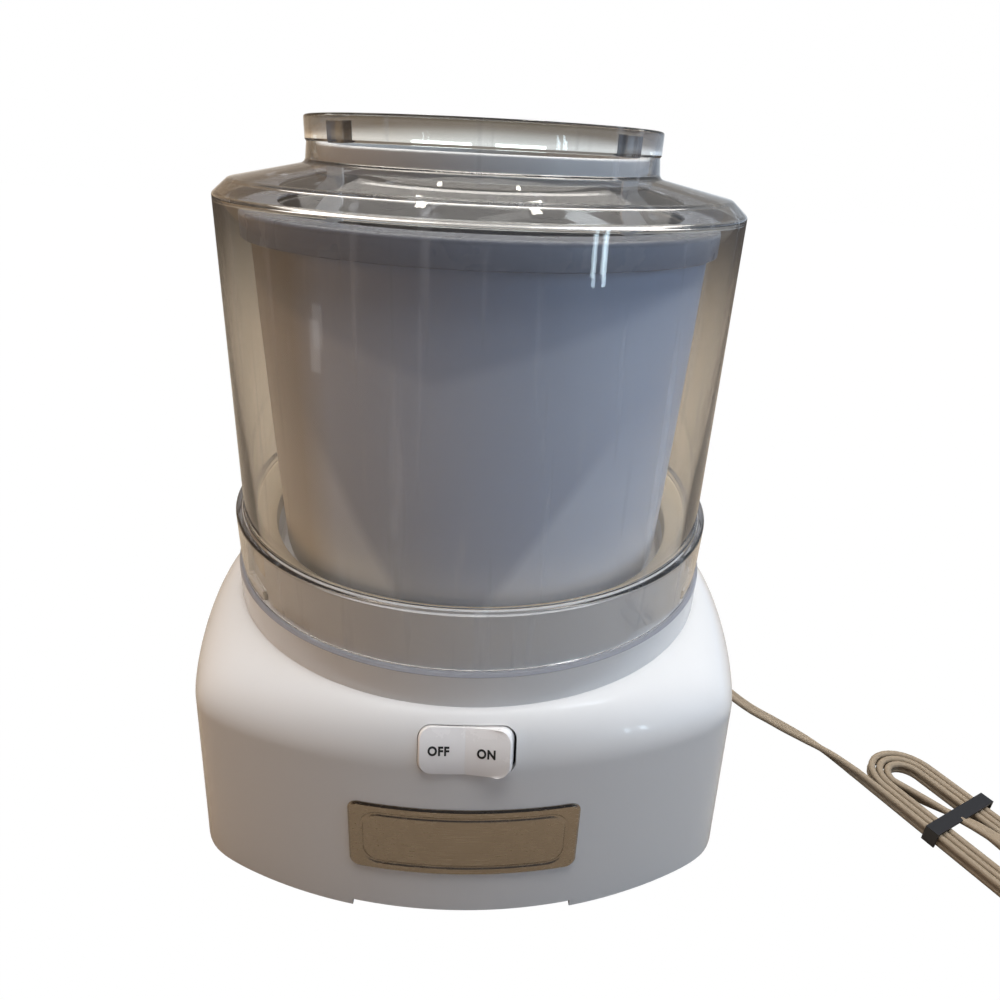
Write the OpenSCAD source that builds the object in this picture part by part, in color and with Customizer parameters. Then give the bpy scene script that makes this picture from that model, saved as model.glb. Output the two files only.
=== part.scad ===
// Ice cream maker with a freezer bowl: a square-shouldered base with a geared motor, a spinning
// double-walled bowl, a still mixing arm and a clear lid that turns to lock.
// Millimetres, +Z up, -Y is the front. The origin is the middle of the footprint, on the table.

/* [Whole machine] */
// Height of the lid's mouth above the table
total_h = 286; // [280:1:300]

/* [Base] */
// Half width of the base at its crease line
base_half_w = 121.3; // [118:0.1:126]
// Half depth of the base at its crease line
base_half_d = 117.8; // [115:0.1:123]
// Plan radius of the bulging left and right walls
side_r = 280; // [240:5:400]
// Plan radius of the bulging front and rear walls
front_r = 208; // [190:2:300]
// How much wider the base is at the table than at the crease, each side
base_draft = 3.4; // [0.5:0.1:5]
// Height of the crease where the wall ends and the shoulder begins
crease_z = 73; // [70:0.5:76]
// Height where the shoulder meets the round neck
neck_z = 95.5; // [93:0.5:98]
// Radius of the round neck
neck_r = 106.9; // [106:0.1:110]
// Wall of the moulded base
wall = 2.8; // [2.2:0.1:3.2]
// Height of the table gap under the base's rim
rim_gap = 0.6; // [0.4:0.1:1.2]
// Width of the shallow cut-out in the front edge
notch_w = 87.4; // [60:1:110]
// Height of that cut-out
notch_h = 3.7; // [2:0.1:5]

/* [Bowl well] */
// Radius of the well that the bowl stands in
well_r = 91.3; // [90.8:0.1:92]
// Height of the well's floor
well_z = 110; // [109:0.5:112]
// Height of the well's edge
well_edge_z = 126.7; // [124:0.1:128]
// Height of the deck's outer rim, which carries the lid
deck_z = 133; // [131:0.5:134]

/* [Lid] */
// Radius outside the skirt's step
step_r = 105.8; // [105.4:0.1:106.4]
// Radius outside the wall just above the step
lid_low_r = 102.3; // [101.8:0.1:102.8]
// Radius outside the wall at the shoulder
lid_top_r = 101; // [100.4:0.1:101.4]
// Height of the shoulder's lower edge
shoulder_z = 259.5; // [258:0.5:262]
// Radius of the shoulder's upper edge
crown_r = 95.1; // [94:0.1:97]
// Height of the shoulder's upper edge
crown_z = 264.6; // [263:0.1:267]
// Radius outside the pouring mouth
mouth_r = 67.3; // [66.5:0.1:70]
// Thickness of the clear plastic
lid_t = 2.2; // [1.8:0.1:2.4]
// Height of the band round the mouth
lip_h = 8.5; // [6:0.5:9]
// Angle that the lid turns to lock
lock_turn = 15; // [10:1:18]

/* [Freezer bowl] */
// Radius outside the bowl under its rim
bowl_top_r = 89.1; // [88.5:0.1:89.6]
// Radius outside the bowl near its floor
bowl_low_r = 87.3; // [86:0.1:88]
// Radius outside the rim
bowl_rim_r = 92.7; // [92:0.1:93.5]
// Height of the rim's top
bowl_z = 254.4; // [252:0.1:255]
// Height of the rim band
bowl_rim_h = 9; // [8:0.5:11]
// Radius inside the metal liner at its mouth
liner_r = 78.6; // [78:0.1:79]
// Radius inside the metal liner at its floor
liner_low_r = 76.6; // [76.2:0.1:77.2]
// Height of the liner's floor inside
liner_z = 128; // [127:0.5:130]
// Thickness of the metal liner
liner_t = 1.2; // [0.8:0.1:1.5]

/* [Mixing arm] */
// Half width of the arm's blade
arm_half_w = 75.2; // [74:0.1:75.6]
// Thickness of the blade
arm_t = 4; // [3:0.5:5]
// Radius outside the arm's ring
arm_ring_r = 63.6; // [62.5:0.1:63.8]
// Height of the ring's top
arm_top_z = 276; // [274:0.5:277]

/* [Switch] */
// Width of the switch opening
switch_w = 35.6; // [32:0.2:38]
// Height of the switch opening along the slope
switch_h = 19; // [17:0.2:20]
// Corner radius of the switch opening
switch_corner_r = 5; // [3:0.5:6]
// Rocker travel
rocker_swing = 9; // [7:0.5:10]

/* [Name plate] */
// Width of the plate
plate_w = 88; // [70:1:96]
// Height of the plate
plate_h = 32.6; // [26:0.2:36]
// Height of the plate's middle
plate_z = 40.7; // [38:0.1:46]
// Thickness of the plate
plate_t = 0.9; // [0.6:0.1:1.2]

/* [Drive] */
// Module of the last gear pair
module_out = 1.25; // [1.25:0.05:1.25]
// Teeth of the output gear
teeth_out = 64; // [64:2:64]
// Face width of the output gear
out_face = 8; // [6:0.5:9]
// Radius of the hub's shaft
hub_shaft_r = 10; // [9:0.1:10.5]
// Radius of the gear shafts
pin_r = 3; // [2.5:0.1:3.2]
// Radius of the motor shaft
motor_shaft_r = 2.5; // [2.2:0.1:2.8]
// Radius of the rotor
rotor_r = 15; // [13:0.5:16]
// Height of the lamination stack
stack_h = 24; // [20:1:26]

/* [Hidden] */
$fn = 96;

// Clearances
gap = 0.3;            // between pieces that move past each other
run_gap = 0.05;       // a shaft in its bush or a gear on its pin
seat_gap = 0.1;       // a piece laid against the next one
tiny = 0.01;

// ---- the base's plan and profile ---------------------------------------------------------

corner_power = 40;    // how sharply the four bulging walls meet
shoulder_power = 1.93;
plan_points = 96;
round_off = 0.1;      // keeps the facets' flats just outside the round neck
shoulder_steps = [0.14, 0.3, 0.47, 0.64, 0.79, 0.91, 1];

// Distance from the middle to a bulging wall, along a ray turned by a from that wall's middle
function wall_reach(a, half, r) = (half - r) * cos(a) + sqrt(r * r - pow((half - r) * sin(a), 2));

// Plan radius at angle a, the four walls melted into one rounded square, grown by g
function plan_r(a, g) = pow(
    pow(wall_reach(a + 90, base_half_d + g, front_r + g), -corner_power) +
    pow(wall_reach(a - 90, base_half_d + g, front_r + g), -corner_power) +
    pow(wall_reach(a, base_half_w + g, side_r + g), -corner_power) +
    pow(wall_reach(a + 180, base_half_w + g, side_r + g), -corner_power), -1 / corner_power);

function draft_at(z) = base_draft * (1 - z / crease_z);
function shoulder_share(t) = pow(1 - pow(t, shoulder_power), 1 / shoulder_power);

// Ring of points around the wall at height z, or on the shoulder at share t, both set in by s
function wall_ring(z, s) = [for (i = [0:plan_points - 1]) let (a = i * 360 / plan_points,
    r = plan_r(a, draft_at(z) - s)) [r * cos(a), r * sin(a), z]];
function shoulder_ring(t, s, drop) = [for (i = [0:plan_points - 1])
    let (a = i * 360 / plan_points, w = shoulder_share(t),
        r = (neck_r + round_off - s) * (1 - w) + plan_r(a, -s) * w)
    [r * cos(a), r * sin(a), crease_z - drop + (neck_z - crease_z) * t]];

// A closed skin through a list of rings with the same number of points
module loft(rings) {
    n = len(rings[0]);
    last = len(rings) - 1;
    polyhedron([for (ring = rings, p = ring) p], concat(
        [[for (k = [0:n - 1]) k]],
        [for (i = [0:last - 1], k = [0:n - 1]) let (j = (k + 1) % n)
            each [[i * n + k, (i + 1) * n + j, i * n + j], [i * n + k, (i + 1) * n + k, (i + 1) * n + j]]],
        [[for (k = [n - 1:-1:0]) last * n + k]]));
}

// The body of the base from height low up to the neck, set in by s and lowered by drop
module base_form(low, s, drop) {
    loft(concat([wall_ring(low, s), shoulder_ring(0, s, drop)],
        [for (t = shoulder_steps) shoulder_ring(t, s, drop)]));
}

ledge_z = 109.8;                         // the neck steps in here, under the lid's skirt
collar_r = lid_low_r + 0.3;              // the part of the neck inside the skirt
floor_t = 3;
floor_under = well_z - floor_t;
plate_under = rim_gap + notch_h + 0.3;   // underside of the base plate
plate_floor_t = 2.5;
hub_hole_r = hub_shaft_r + 4.6;

// Screw posts that hold the base plate, and where the gearbox hangs from the well's floor
post_r = 4.6;
post_spots = [[-86, -74], [86, -74], [-86, 74], [86, 74]];
screw_r = 1.7;
foot_spots = [[-70, -84], [70, -84], [-70, 84], [70, 84]];

// ---- the drive train ------------------------------------------------------------------

pinion_teeth = 12;
module_mid = 1;
teeth_mid = 48;
module_in = 0.8;
teeth_in = 54;
addendum = 0.72;
dedendum = 1;
pressure = 20;
backlash = 0.16;

dist_out = module_out * (teeth_out + pinion_teeth) / 2;
dist_mid = module_mid * (teeth_mid + pinion_teeth) / 2;
dist_in = module_in * (teeth_in + pinion_teeth) / 2;
dir_third = 60;
dir_second = 150;
dir_motor = 200;
third_at = dist_out * [cos(dir_third), sin(dir_third)];
second_at = third_at + dist_mid * [cos(dir_second), sin(dir_second)];
motor_at = second_at + dist_in * [cos(dir_motor), sin(dir_motor)];

// Heights inside the gearbox, from its floor up
gearbox_low = 66;
gearbox_t = 2.6;
gearbox_top = 100;
in_z = gearbox_low + gearbox_t + 2.6;    // underside of the first gear pair
in_face = 4.5;
mid_z = in_z + in_face + 2.5;
mid_face = 5;
out_z = mid_z + mid_face + 2.5;
washer_t = 0.8;

// A gear's angle so that it meshes with a gear at angle from, seen in direction dir
function mesh_angle(dir, teeth_from, from, teeth) =
    dir + 180 - 360 / teeth * (0.5 - (dir - from) * teeth_from / 360);
third_angle = mesh_angle(dir_third, teeth_out, 0, pinion_teeth);
second_angle = mesh_angle(dir_second, teeth_mid, third_angle, pinion_teeth);
motor_angle = mesh_angle(dir_motor, teeth_in, second_angle, pinion_teeth);

// One flank of an involute tooth: the half angle of the tooth at radius r
function involute(a) = tan(a) - a * PI / 180;
function half_tooth(r, m, n) =
    let (rb = m * n / 2 * cos(pressure), a = r > rb ? acos(rb / r) : 0)
    (90 / n - backlash / (m * n) * 180 / PI / 1) +
    (involute(pressure) - involute(a)) * 180 / PI;
function flank_radii(m, n) =
    let (r = m * n / 2, low = max(r - dedendum * m, 0), rb = r * cos(pressure),
        start = max(low, rb), top = r + addendum * m)
    concat(low < rb ? [low] : [], [for (i = [0:4]) start + (top - start) * i / 4]);

module gear(m, n, face) {
    radii = flank_radii(m, n);
    last = len(radii) - 1;
    points = [for (k = [0:n - 1]) for (j = [0:2 * last + 1])
        let (side = j <= last ? -1 : 1, i = j <= last ? j : 2 * last + 1 - j,
            a = k * 360 / n + side * half_tooth(radii[i], m, n))
        radii[i] * [cos(a), sin(a)]];
    linear_extrude(face) polygon(points);
}

// ---- the hub and the bowl's floor --------------------------------------------------------

hub_flange_z = well_z + 0.8;
hub_flange_t = 2.2;
hub_flange_r = 34;
bowl_floor_z = hub_flange_z + hub_flange_t + gap;
dog_r = 12;
dog_w = 8;
dog_len = 31;
dog_top = bowl_floor_z + 6.6;
bowl_t = 2.2;
bowl_floor_t = 2.6;
socket_wall = 2.2;
plug_x = 58;
plug_r = 5;

// ---- the lid's profile -------------------------------------------------------------------

skirt_z = 110.2;
step_z = deck_z + 2.15;
skirt_t = 2.4;
mouth_base_z = 271;
lip_step = 0.5;
lid_clear = 0.35;                        // from the deck's rim up to the lid's ledge
lug_count = 3;
lug_wide = 10;
lug_z = skirt_z + 1;
lug_h = 4;
lug_deep = 1.9;
first_lug = 213;
key_spots = [221.5, 318.5];
key_wide = 8;

// ---- the switch ---------------------------------------------------------------------------

switch_low_z = crease_z + 1.4;
switch_tilt = 17.2;
switch_mid_z = switch_low_z + switch_h / 2 * cos(switch_tilt);
switch_mid_y = -(neck_r + (base_half_d - neck_r) *
    shoulder_share((switch_mid_z - crease_z) / (neck_z - crease_z)));
rocker_pivot = -7.5;                     // below the housing's surface
rocker_proud = 0.5;
rocker_pin_r = 1.5;
switch_top = -wall - 2.8;                // the switch's body starts here, under the shoulder

// A point of the switch's own frame: x across, y up the slope, z outwards
function from_switch(p) = [p[0],
    switch_mid_y + p[1] * sin(switch_tilt) - p[2] * cos(switch_tilt),
    switch_mid_z + p[1] * cos(switch_tilt) + p[2] * sin(switch_tilt)];

module in_switch_frame() {
    translate([0, switch_mid_y, switch_mid_z]) rotate([90 - switch_tilt, 0, 0]) children();
}

module rounded_rect(w, h, r) {
    square([w - 2 * r, h], center = true);
    square([w, h - 2 * r], center = true);
    for (x = [-1, 1], y = [-1, 1]) {
        translate([x * (w / 2 - r), y * (h / 2 - r)]) circle(r, $fn = 48);
    }
}

// ---- the cord -------------------------------------------------------------------------------

cord_w = 6.4;
cord_t = 3.2;
cord_exit = [62, 121, 18];
relief_len = 28;
// From the strain relief, down to the table, round the right side and forward to the hank
cord_route = [[62, 149, 18], [62, 156, 17], [63, 163, 12], [66, 170, 5], [72, 177, 1.7],
    [83, 182, 1.7], [98, 181, 1.7], [112, 174, 1.7], [124, 162, 1.7], [133, 146, 1.7],
    [139, 127, 1.7], [142, 106, 1.7], [143, 84, 1.7], [143, 60, 1.7], [144, 40, 1.7],
    [149, 20, 1.7], [158, 4, 1.7], [169, -8, 1.7], [180, -20, 1.7], [189, -32, 1.7],
    [196.6, -45.6, 1.7]];
hank_angle = -63;
hank_from = [210.5, -31.7];
hank_len = 118;
hank_w = 41;
hank_h = 7;
plug_from = 62;                          // the plug lies on the hank from here on
plug_at = 84;

// ==== modules, one for each sub-part =========================================================

module lock_groove(i) {
    a = first_lug + i * 360 / lug_count;
    entry = lug_wide / 2 + 1.5;
    rotate([0, 0, a - entry]) rotate_extrude(angle = 2 * entry)
        translate([collar_r - lug_deep, ledge_z - tiny]) square([lug_deep + 1, deck_z - ledge_z + 1]);
    rotate([0, 0, a - entry]) rotate_extrude(angle = 2 * entry + lock_turn)
        translate([collar_r - lug_deep, ledge_z - tiny]) square([lug_deep + 1, lug_h + 2]);
}

module base_cavity() {
    difference() {
        union() {
            base_form(-1, wall, wall * 0.9);
            translate([0, 0, crease_z]) cylinder(r = neck_r - wall, h = floor_under - crease_z);
            rotate_extrude() polygon([[well_r + wall, floor_under - 1],
                [collar_r - lug_deep - 2, floor_under - 1], [collar_r - lug_deep - 2, deck_z - wall],
                [well_r + wall, well_edge_z - wall]]);
        }
        for (p = post_spots) {
            translate([p[0], p[1], plate_under + plate_floor_t + seat_gap])
                cylinder(r = post_r, h = neck_z, $fn = 32);
        }
        for (p = gearbox_screw_spots) {
            translate([p[0], p[1], gearbox_top + seat_gap])
                cylinder(r = post_r, h = floor_under, $fn = 32);
        }
        difference() {
            cylinder(r = hub_hole_r + 2.4, h = floor_under + tiny);
            cylinder(r = 2 * hub_hole_r, h = gearbox_top + seat_gap);
        }
    }
}

module base_housing() {
    color("whitesmoke") difference() {
        union() {
            base_form(rim_gap, 0, 0);
            translate([0, 0, crease_z]) cylinder(r = neck_r, h = ledge_z - crease_z);
            translate([0, 0, crease_z]) cylinder(r = collar_r, h = deck_z - crease_z);
        }
        base_cavity();
        rotate_extrude() polygon([[0, well_z], [well_r, well_z], [well_r, well_edge_z],
            [collar_r - wall, deck_z], [collar_r - wall, deck_z + 1], [0, deck_z + 1]]);
        translate([0, 0, gearbox_top]) cylinder(r = hub_hole_r, h = deck_z);
        for (i = [0:lug_count - 1]) lock_groove(i);
        in_switch_frame() translate([0, 0, -3 * wall]) linear_extrude(6 * wall)
            rounded_rect(switch_w, switch_h, switch_corner_r);
        in_switch_frame() translate([0, 0, -30]) linear_extrude(30 + switch_top + seat_gap)
            rounded_rect(switch_w + 4 + 2 * gap, switch_h + 4 + 2 * gap, switch_corner_r);
        translate([-notch_w / 2, -base_half_d - 20, -1]) cube([notch_w, 60, rim_gap + notch_h + 1]);
        translate([cord_exit[0], cord_exit[1] - 20, cord_exit[2]]) rotate([-90, 0, 0])
            cylinder(r = relief_r + seat_gap, h = 40, $fn = 48);
        for (p = post_spots) translate([p[0], p[1], 0]) cylinder(r = screw_r - 0.3, h = 24, $fn = 24);
        for (p = gearbox_screw_spots) {
            translate([p[0], p[1], gearbox_top - 1]) cylinder(r = screw_r - 0.3, h = 7.5, $fn = 24);
        }
    }
}

module base_plate() {
    color("gainsboro") difference() {
        translate([0, 0, plate_under]) linear_extrude(plate_floor_t) difference() {
            polygon([for (p = wall_ring(plate_under, wall + gap)) [p[0], p[1]]]);
            for (p = post_spots) translate(p) circle(screw_r + 0.2, $fn = 24);
            for (p = foot_spots) translate(p) circle(foot_stem_r + seat_gap, $fn = 32);
            for (i = [-4:4]) translate([motor_at[0] + 7 * i, motor_at[1]]) square([3, 40], center = true);
        }
        for (p = post_spots) translate([p[0], p[1], plate_under - tiny]) cylinder(r = 3.4, h = 1.2, $fn = 32);
    }
}

foot_r = 9;
foot_stem_r = 3;
module rubber_feet() {
    color("dimgray") for (p = foot_spots) translate(p) {
        rotate_extrude() polygon([[0, 0], [foot_r - 1.5, 0], [foot_r, 1.5],
            [foot_r, plate_under - seat_gap], [foot_stem_r, plate_under - seat_gap],
            [foot_stem_r, plate_under + plate_floor_t + 0.6], [0, plate_under + plate_floor_t + 0.6]]);
    }
}

// A pan-head screw standing on its head, cross slot cut in
module screw(head_r, head_h, shank_r, len) {
    difference() {
        union() {
            cylinder(r = head_r, h = head_h, $fn = 32);
            cylinder(r = shank_r, h = len, $fn = 24);
        }
        for (a = [0, 90]) rotate([0, 0, a]) translate([-head_r * 0.6, -0.3, -tiny])
            cube([head_r * 1.2, 0.6, head_h * 0.6]);
    }
}

module base_screws() {
    color("silver") for (p = post_spots) translate([p[0], p[1], plate_under + 0.05])
        screw(3, 1, screw_r - 0.4, 16);
}

plate_centre_y = front_r - base_half_d;
module name_plate() {
    low = plate_z - plate_h / 2;
    high = plate_z + plate_h / 2;
    front_low = front_r + draft_at(low) + seat_gap;
    front_high = front_r + draft_at(high) + seat_gap;
    color("tan") intersection() {
        translate([0, plate_centre_y, 0]) rotate([0, 0, -90 - 20]) rotate_extrude(angle = 40, $fn = 360)
            polygon([[front_low, low], [front_low + plate_t, low], [front_high + plate_t, high],
                [front_high, high]]);
        translate([0, 0, plate_z]) rotate([90, 0, 0]) linear_extrude(base_half_d + 20)
            rounded_rect(plate_w, plate_h, 4);
    }
}

switch_deep = 16;
module switch_body() {
    color("dimgray") in_switch_frame() difference() {
        translate([0, 0, -switch_deep]) linear_extrude(switch_deep + switch_top)
            rounded_rect(switch_w + 4, switch_h + 4, switch_corner_r);
        translate([0, 0, 2.5 - switch_deep]) linear_extrude(20)
            rounded_rect(switch_w - 0.2, switch_h - 0.2, switch_corner_r);
        translate([0, 0, rocker_pivot]) rotate([90, 0, 0])
            cylinder(r = rocker_pin_r + run_gap, h = switch_h + 2.4, center = true, $fn = 32);
    }
}

// A point of the rocker's flush half carried over to the half that stands out
function stood_out(p) = let (x = -p[0], z = p[1] - rocker_pivot)
    [x * cos(rocker_swing) - z * sin(rocker_swing),
        x * sin(rocker_swing) + z * cos(rocker_swing) + rocker_pivot];

module switch_rocker() {
    half = switch_w / 2 - 0.5;
    flush = [[-half + 5, rocker_pivot - 2], [-half, rocker_pivot + 1], [-half, rocker_proud - 0.9],
        [-half + 0.7, rocker_proud]];
    valley = [(rocker_pivot - rocker_proud) * tan(rocker_swing / 2), rocker_proud];
    color("white") in_switch_frame() {
        intersection() {
            rotate([90, 0, 0]) linear_extrude(2 * switch_h, center = true)
                polygon(concat(flush, [valley], [for (i = [3:-1:0]) stood_out(flush[i])],
                    [[2, rocker_pivot - 2.2]]));
            translate([0, 0, -20]) linear_extrude(40)
                rounded_rect(switch_w + 4, switch_h - 1, switch_corner_r - 0.4);
            translate([0, 0, -20]) linear_extrude(40)
                rounded_rect(2 * half + 0.4, switch_h - 0.8, switch_corner_r);
            translate([0, 0, rocker_pivot]) rotate([0, -rocker_swing, 0]) translate([0, 0, -20])
                linear_extrude(40) rounded_rect(2 * half + 0.4, switch_h - 0.6, switch_corner_r);
        }
        translate([0, 0, rocker_pivot]) rotate([90, 0, 0])
            cylinder(r = rocker_pin_r, h = switch_h + 2, center = true, $fn = 32);
    }
}

module switch_terminals() {
    color("gold") in_switch_frame() for (x = [-9, 0, 9])
        translate([x - 0.4, -3.1, -8 - switch_deep]) cube([0.8, 6.2, 8 - seat_gap]);
}

gearbox_wall = 2.2;
ear_h = 8;
gearbox_lobes = [[0, 0, module_out * (teeth_out / 2 + 1) + 1.5], [third_at[0], third_at[1], 28],
    [second_at[0], second_at[1], 25.6], [motor_at[0], motor_at[1], 12]];
gearbox_screw_spots = [[-30, -38], [38, -30], [47, 67], [-34, 68]];

module gearbox_outline(grow) {
    hull() {
        for (c = gearbox_lobes) translate([c[0], c[1]]) circle(c[2] + grow, $fn = 64);
    }
}

// Bosses round the four screws; the webs that join them to the wall are separate
module gearbox_bosses(low, t) {
    for (p = gearbox_screw_spots) translate([p[0], p[1], low]) cylinder(r = post_r, h = t, $fn = 32);
}

ear_web = 0.82;
module gearbox_ears() {
    for (p = gearbox_screw_spots) hull() {
        translate(p) circle(post_r, $fn = 32);
        translate(p * ear_web) circle(post_r, $fn = 32);
    }
}

module gearbox_housing() {
    top = gearbox_top - gearbox_t - seat_gap;
    color("lightsteelblue") difference() {
        union() {
            translate([0, 0, gearbox_low]) linear_extrude(top - gearbox_low) gearbox_outline(gearbox_wall);
            translate([0, 0, top - ear_h]) linear_extrude(ear_h) gearbox_ears();
            translate([0, 0, gearbox_low]) linear_extrude(gearbox_t) for (p = motor_screw_spots) hull() {
                translate(p) circle(motor_leg_r + 0.5, $fn = 32);
                translate(motor_at) circle(gearbox_lobes[3][2] - 2, $fn = 64);
            }
        }
        difference() {
            translate([0, 0, gearbox_low + gearbox_t]) linear_extrude(top) gearbox_outline(0);
            gearbox_bosses(top - ear_h, ear_h);
        }
        translate([0, 0, gearbox_low - 1]) cylinder(r = hub_shaft_r + run_gap, h = gearbox_t + 2);
        for (p = [third_at, second_at]) translate([p[0], p[1], gearbox_low - 1])
            cylinder(r = pin_r, h = gearbox_t + 2, $fn = 48);
        translate([motor_at[0], motor_at[1], gearbox_low - 1]) cylinder(r = 8, h = gearbox_t + 2);
        for (p = motor_screw_spots) translate([p[0], p[1], gearbox_low - 1])
            cylinder(r = screw_r - 0.2, h = gearbox_t + 2, $fn = 24);
        for (p = gearbox_screw_spots) translate([p[0], p[1], gearbox_low])
            cylinder(r = screw_r, h = gearbox_top, $fn = 24);
    }
}

module gearbox_cover() {
    color("lightsteelblue") difference() {
        translate([0, 0, gearbox_top - gearbox_t]) linear_extrude(gearbox_t) union() {
            gearbox_outline(gearbox_wall);
            gearbox_ears();
        }
        translate([0, 0, gearbox_low]) cylinder(r = bush_r, h = gearbox_top);
        for (p = [third_at, second_at]) translate([p[0], p[1], gearbox_low])
            cylinder(r = pin_r, h = gearbox_top, $fn = 48);
        for (p = gearbox_screw_spots) translate([p[0], p[1], gearbox_low])
            cylinder(r = screw_r, h = gearbox_top, $fn = 24);
    }
}

module gearbox_screws() {
    head = gearbox_top - gearbox_t - ear_h - 0.2 - 1.6;
    color("silver") for (p = gearbox_screw_spots) translate([p[0], p[1], head])
        screw(3.2, 1.6, screw_r - 0.35, gearbox_top + 5 - head);
}

module gear_shafts() {
    color("silver") for (p = [third_at, second_at]) translate([p[0], p[1], gearbox_low])
        cylinder(r = pin_r - 0.02, h = gearbox_top - gearbox_low, $fn = 48);
}

module washer(p, z) {
    translate([p[0], p[1], z]) difference() {
        cylinder(r = pin_r + 3, h = washer_t, $fn = 48);
        translate([0, 0, -1]) cylinder(r = pin_r + run_gap, h = washer_t + 2, $fn = 48);
    }
}

module gear_washers() {
    color("white") {
        washer(third_at, gearbox_low + gearbox_t + seat_gap);
        washer(second_at, gearbox_low + gearbox_t + seat_gap);
        washer(third_at, gearbox_top - gearbox_t - seat_gap - washer_t);
        washer(second_at, gearbox_top - gearbox_t - seat_gap - washer_t);
    }
}

bush_r = hub_shaft_r + 3;
module hub_bush() {
    flange_z = gearbox_top + seat_gap;
    color("darkgoldenrod") difference() {
        union() {
            translate([0, 0, gearbox_top - gearbox_t - 2]) cylinder(r = bush_r - 0.02, h = gearbox_t + 2.2);
            translate([0, 0, flange_z]) cylinder(r = hub_hole_r - seat_gap, h = 3);
        }
        cylinder(r = hub_shaft_r + run_gap, h = well_z);
    }
}

module hub_seal() {
    low = gearbox_top + seat_gap + 3.2;
    color("black") difference() {
        translate([0, 0, low]) cylinder(r = hub_hole_r - seat_gap, h = well_z - low - 0.4);
        cylinder(r = hub_shaft_r + gap, h = well_z);
        translate([0, 0, low + 2]) cylinder(r = hub_shaft_r + 2.4, h = well_z);
    }
}

module drive_dog(clear, low, high) {
    translate([0, 0, low]) cylinder(r = dog_r + clear, h = high - low);
    for (a = [0, 90]) rotate([0, 0, a]) {
        translate([-dog_len / 2 - clear, -dog_w / 2 - clear, low])
            cube([dog_len + 2 * clear, dog_w + 2 * clear, high - low]);
    }
}

clip_z = out_z - 2.4;
clip_t = 1.2;
module drive_hub() {
    color("white") difference() {
        union() {
            translate([0, 0, gearbox_low]) cylinder(r = hub_shaft_r, h = well_z - gearbox_low + 1);
            translate([0, 0, hub_flange_z]) cylinder(r = hub_flange_r, h = hub_flange_t);
            drive_dog(0, hub_flange_z, dog_top - 1);
            translate([0, 0, dog_top - 1 - tiny]) cylinder(r1 = dog_r, r2 = dog_r - 1, h = 1);
        }
        translate([0, 0, clip_z]) difference() {
            cylinder(r = hub_shaft_r + 5, h = clip_t + 0.1);
            cylinder(r = hub_shaft_r - 1, h = clip_t + 1);
        }
        translate([0, 0, gearbox_low - 1]) cylinder(r = 4, h = 26, $fn = 48);
    }
}

module output_gear() {
    color("ivory") difference() {
        union() {
            translate([0, 0, out_z]) gear(module_out, teeth_out, out_face);
            translate([0, 0, out_z - 1]) cylinder(r = hub_shaft_r + 5, h = out_face + 2.6);
        }
        translate([0, 0, gearbox_low]) cylinder(r = hub_shaft_r + 0.02, h = well_z);
        for (a = [0:60:300]) rotate([0, 0, a]) translate([26, 0, out_z - 1])
            cylinder(r = 6.5, h = out_face + 2, $fn = 48);
    }
}

module hub_clip() {
    color("silver") translate([0, 0, clip_z + 0.05]) difference() {
        cylinder(r = hub_shaft_r + 2.6, h = clip_t - 0.05);
        translate([0, 0, -1]) cylinder(r = hub_shaft_r - 0.95, h = clip_t + 2);
        translate([0, -2, -1]) cube([20, 4, clip_t + 2]);
    }
}

// A big gear with the next stage's pinion moulded on top of it
module compound_gear(p, turn, z, big_m, big_n, big_face, small_z, small_m, small_face, low, high) {
    translate([p[0], p[1], 0]) difference() {
        union() {
            rotate([0, 0, turn]) {
                translate([0, 0, z]) gear(big_m, big_n, big_face);
                translate([0, 0, small_z]) gear(small_m, pinion_teeth, small_face);
            }
            translate([0, 0, low]) cylinder(r = pin_r + 1.3, h = high - low, $fn = 48);
        }
        cylinder(r = pin_r + run_gap, h = gearbox_top, $fn = 48);
    }
}

gear_low = gearbox_low + gearbox_t + washer_t + 3 * seat_gap;
gear_high = gearbox_top - gearbox_t - washer_t - 3 * seat_gap;

module third_stage_gear() {
    color("ivory") compound_gear(third_at, third_angle, mid_z, module_mid, teeth_mid, mid_face,
        mid_z + mid_face - tiny, module_out, gear_high - mid_z - mid_face - 0.6, gear_low, gear_high);
}

module second_stage_gear() {
    color("ivory") compound_gear(second_at, second_angle, in_z, module_in, teeth_in, in_face,
        in_z + in_face - tiny, module_mid, mid_face + 3.2, gear_low, gear_high);
}

module at_motor() {
    translate([motor_at[0], motor_at[1], 0]) children();
}

stack_z = 30;
motor_low = 9.5;
motor_high = in_z + in_face + 1;
stator_bore = rotor_r + 0.4;
bracket_t = 1.6;
bracket_off = 9;
stator_half_w = 24;
coil_bar_y = -38;
coil_bar_w = 12;
window_half_w = 13;
motor_leg_x = 19;
motor_leg_y = 8;
motor_leg_r = 4;
motor_screw_spots = [for (s = [-1, 1]) [motor_at[0] + s * motor_leg_x, motor_at[1] + s * motor_leg_y]];
shading_x = 19.7;
shading_y = 7;
fan_r = 21;
fan_h = 8;

module motor_pinion() {
    color("gold") at_motor() difference() {
        rotate([0, 0, motor_angle]) translate([0, 0, in_z - 0.6])
            gear(module_in, pinion_teeth, in_face + 1.2);
        cylinder(r = motor_shaft_r + 0.02, h = gearbox_top, $fn = 48);
    }
}

module motor_shaft() {
    color("silver") at_motor() translate([0, 0, motor_low])
        cylinder(r = motor_shaft_r, h = motor_high - motor_low, $fn = 48);
}

module motor_rotor() {
    color("lightgray") at_motor() difference() {
        translate([0, 0, stack_z]) cylinder(r = rotor_r, h = stack_h);
        cylinder(r = motor_shaft_r + 0.02, h = gearbox_top, $fn = 48);
    }
}

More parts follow.
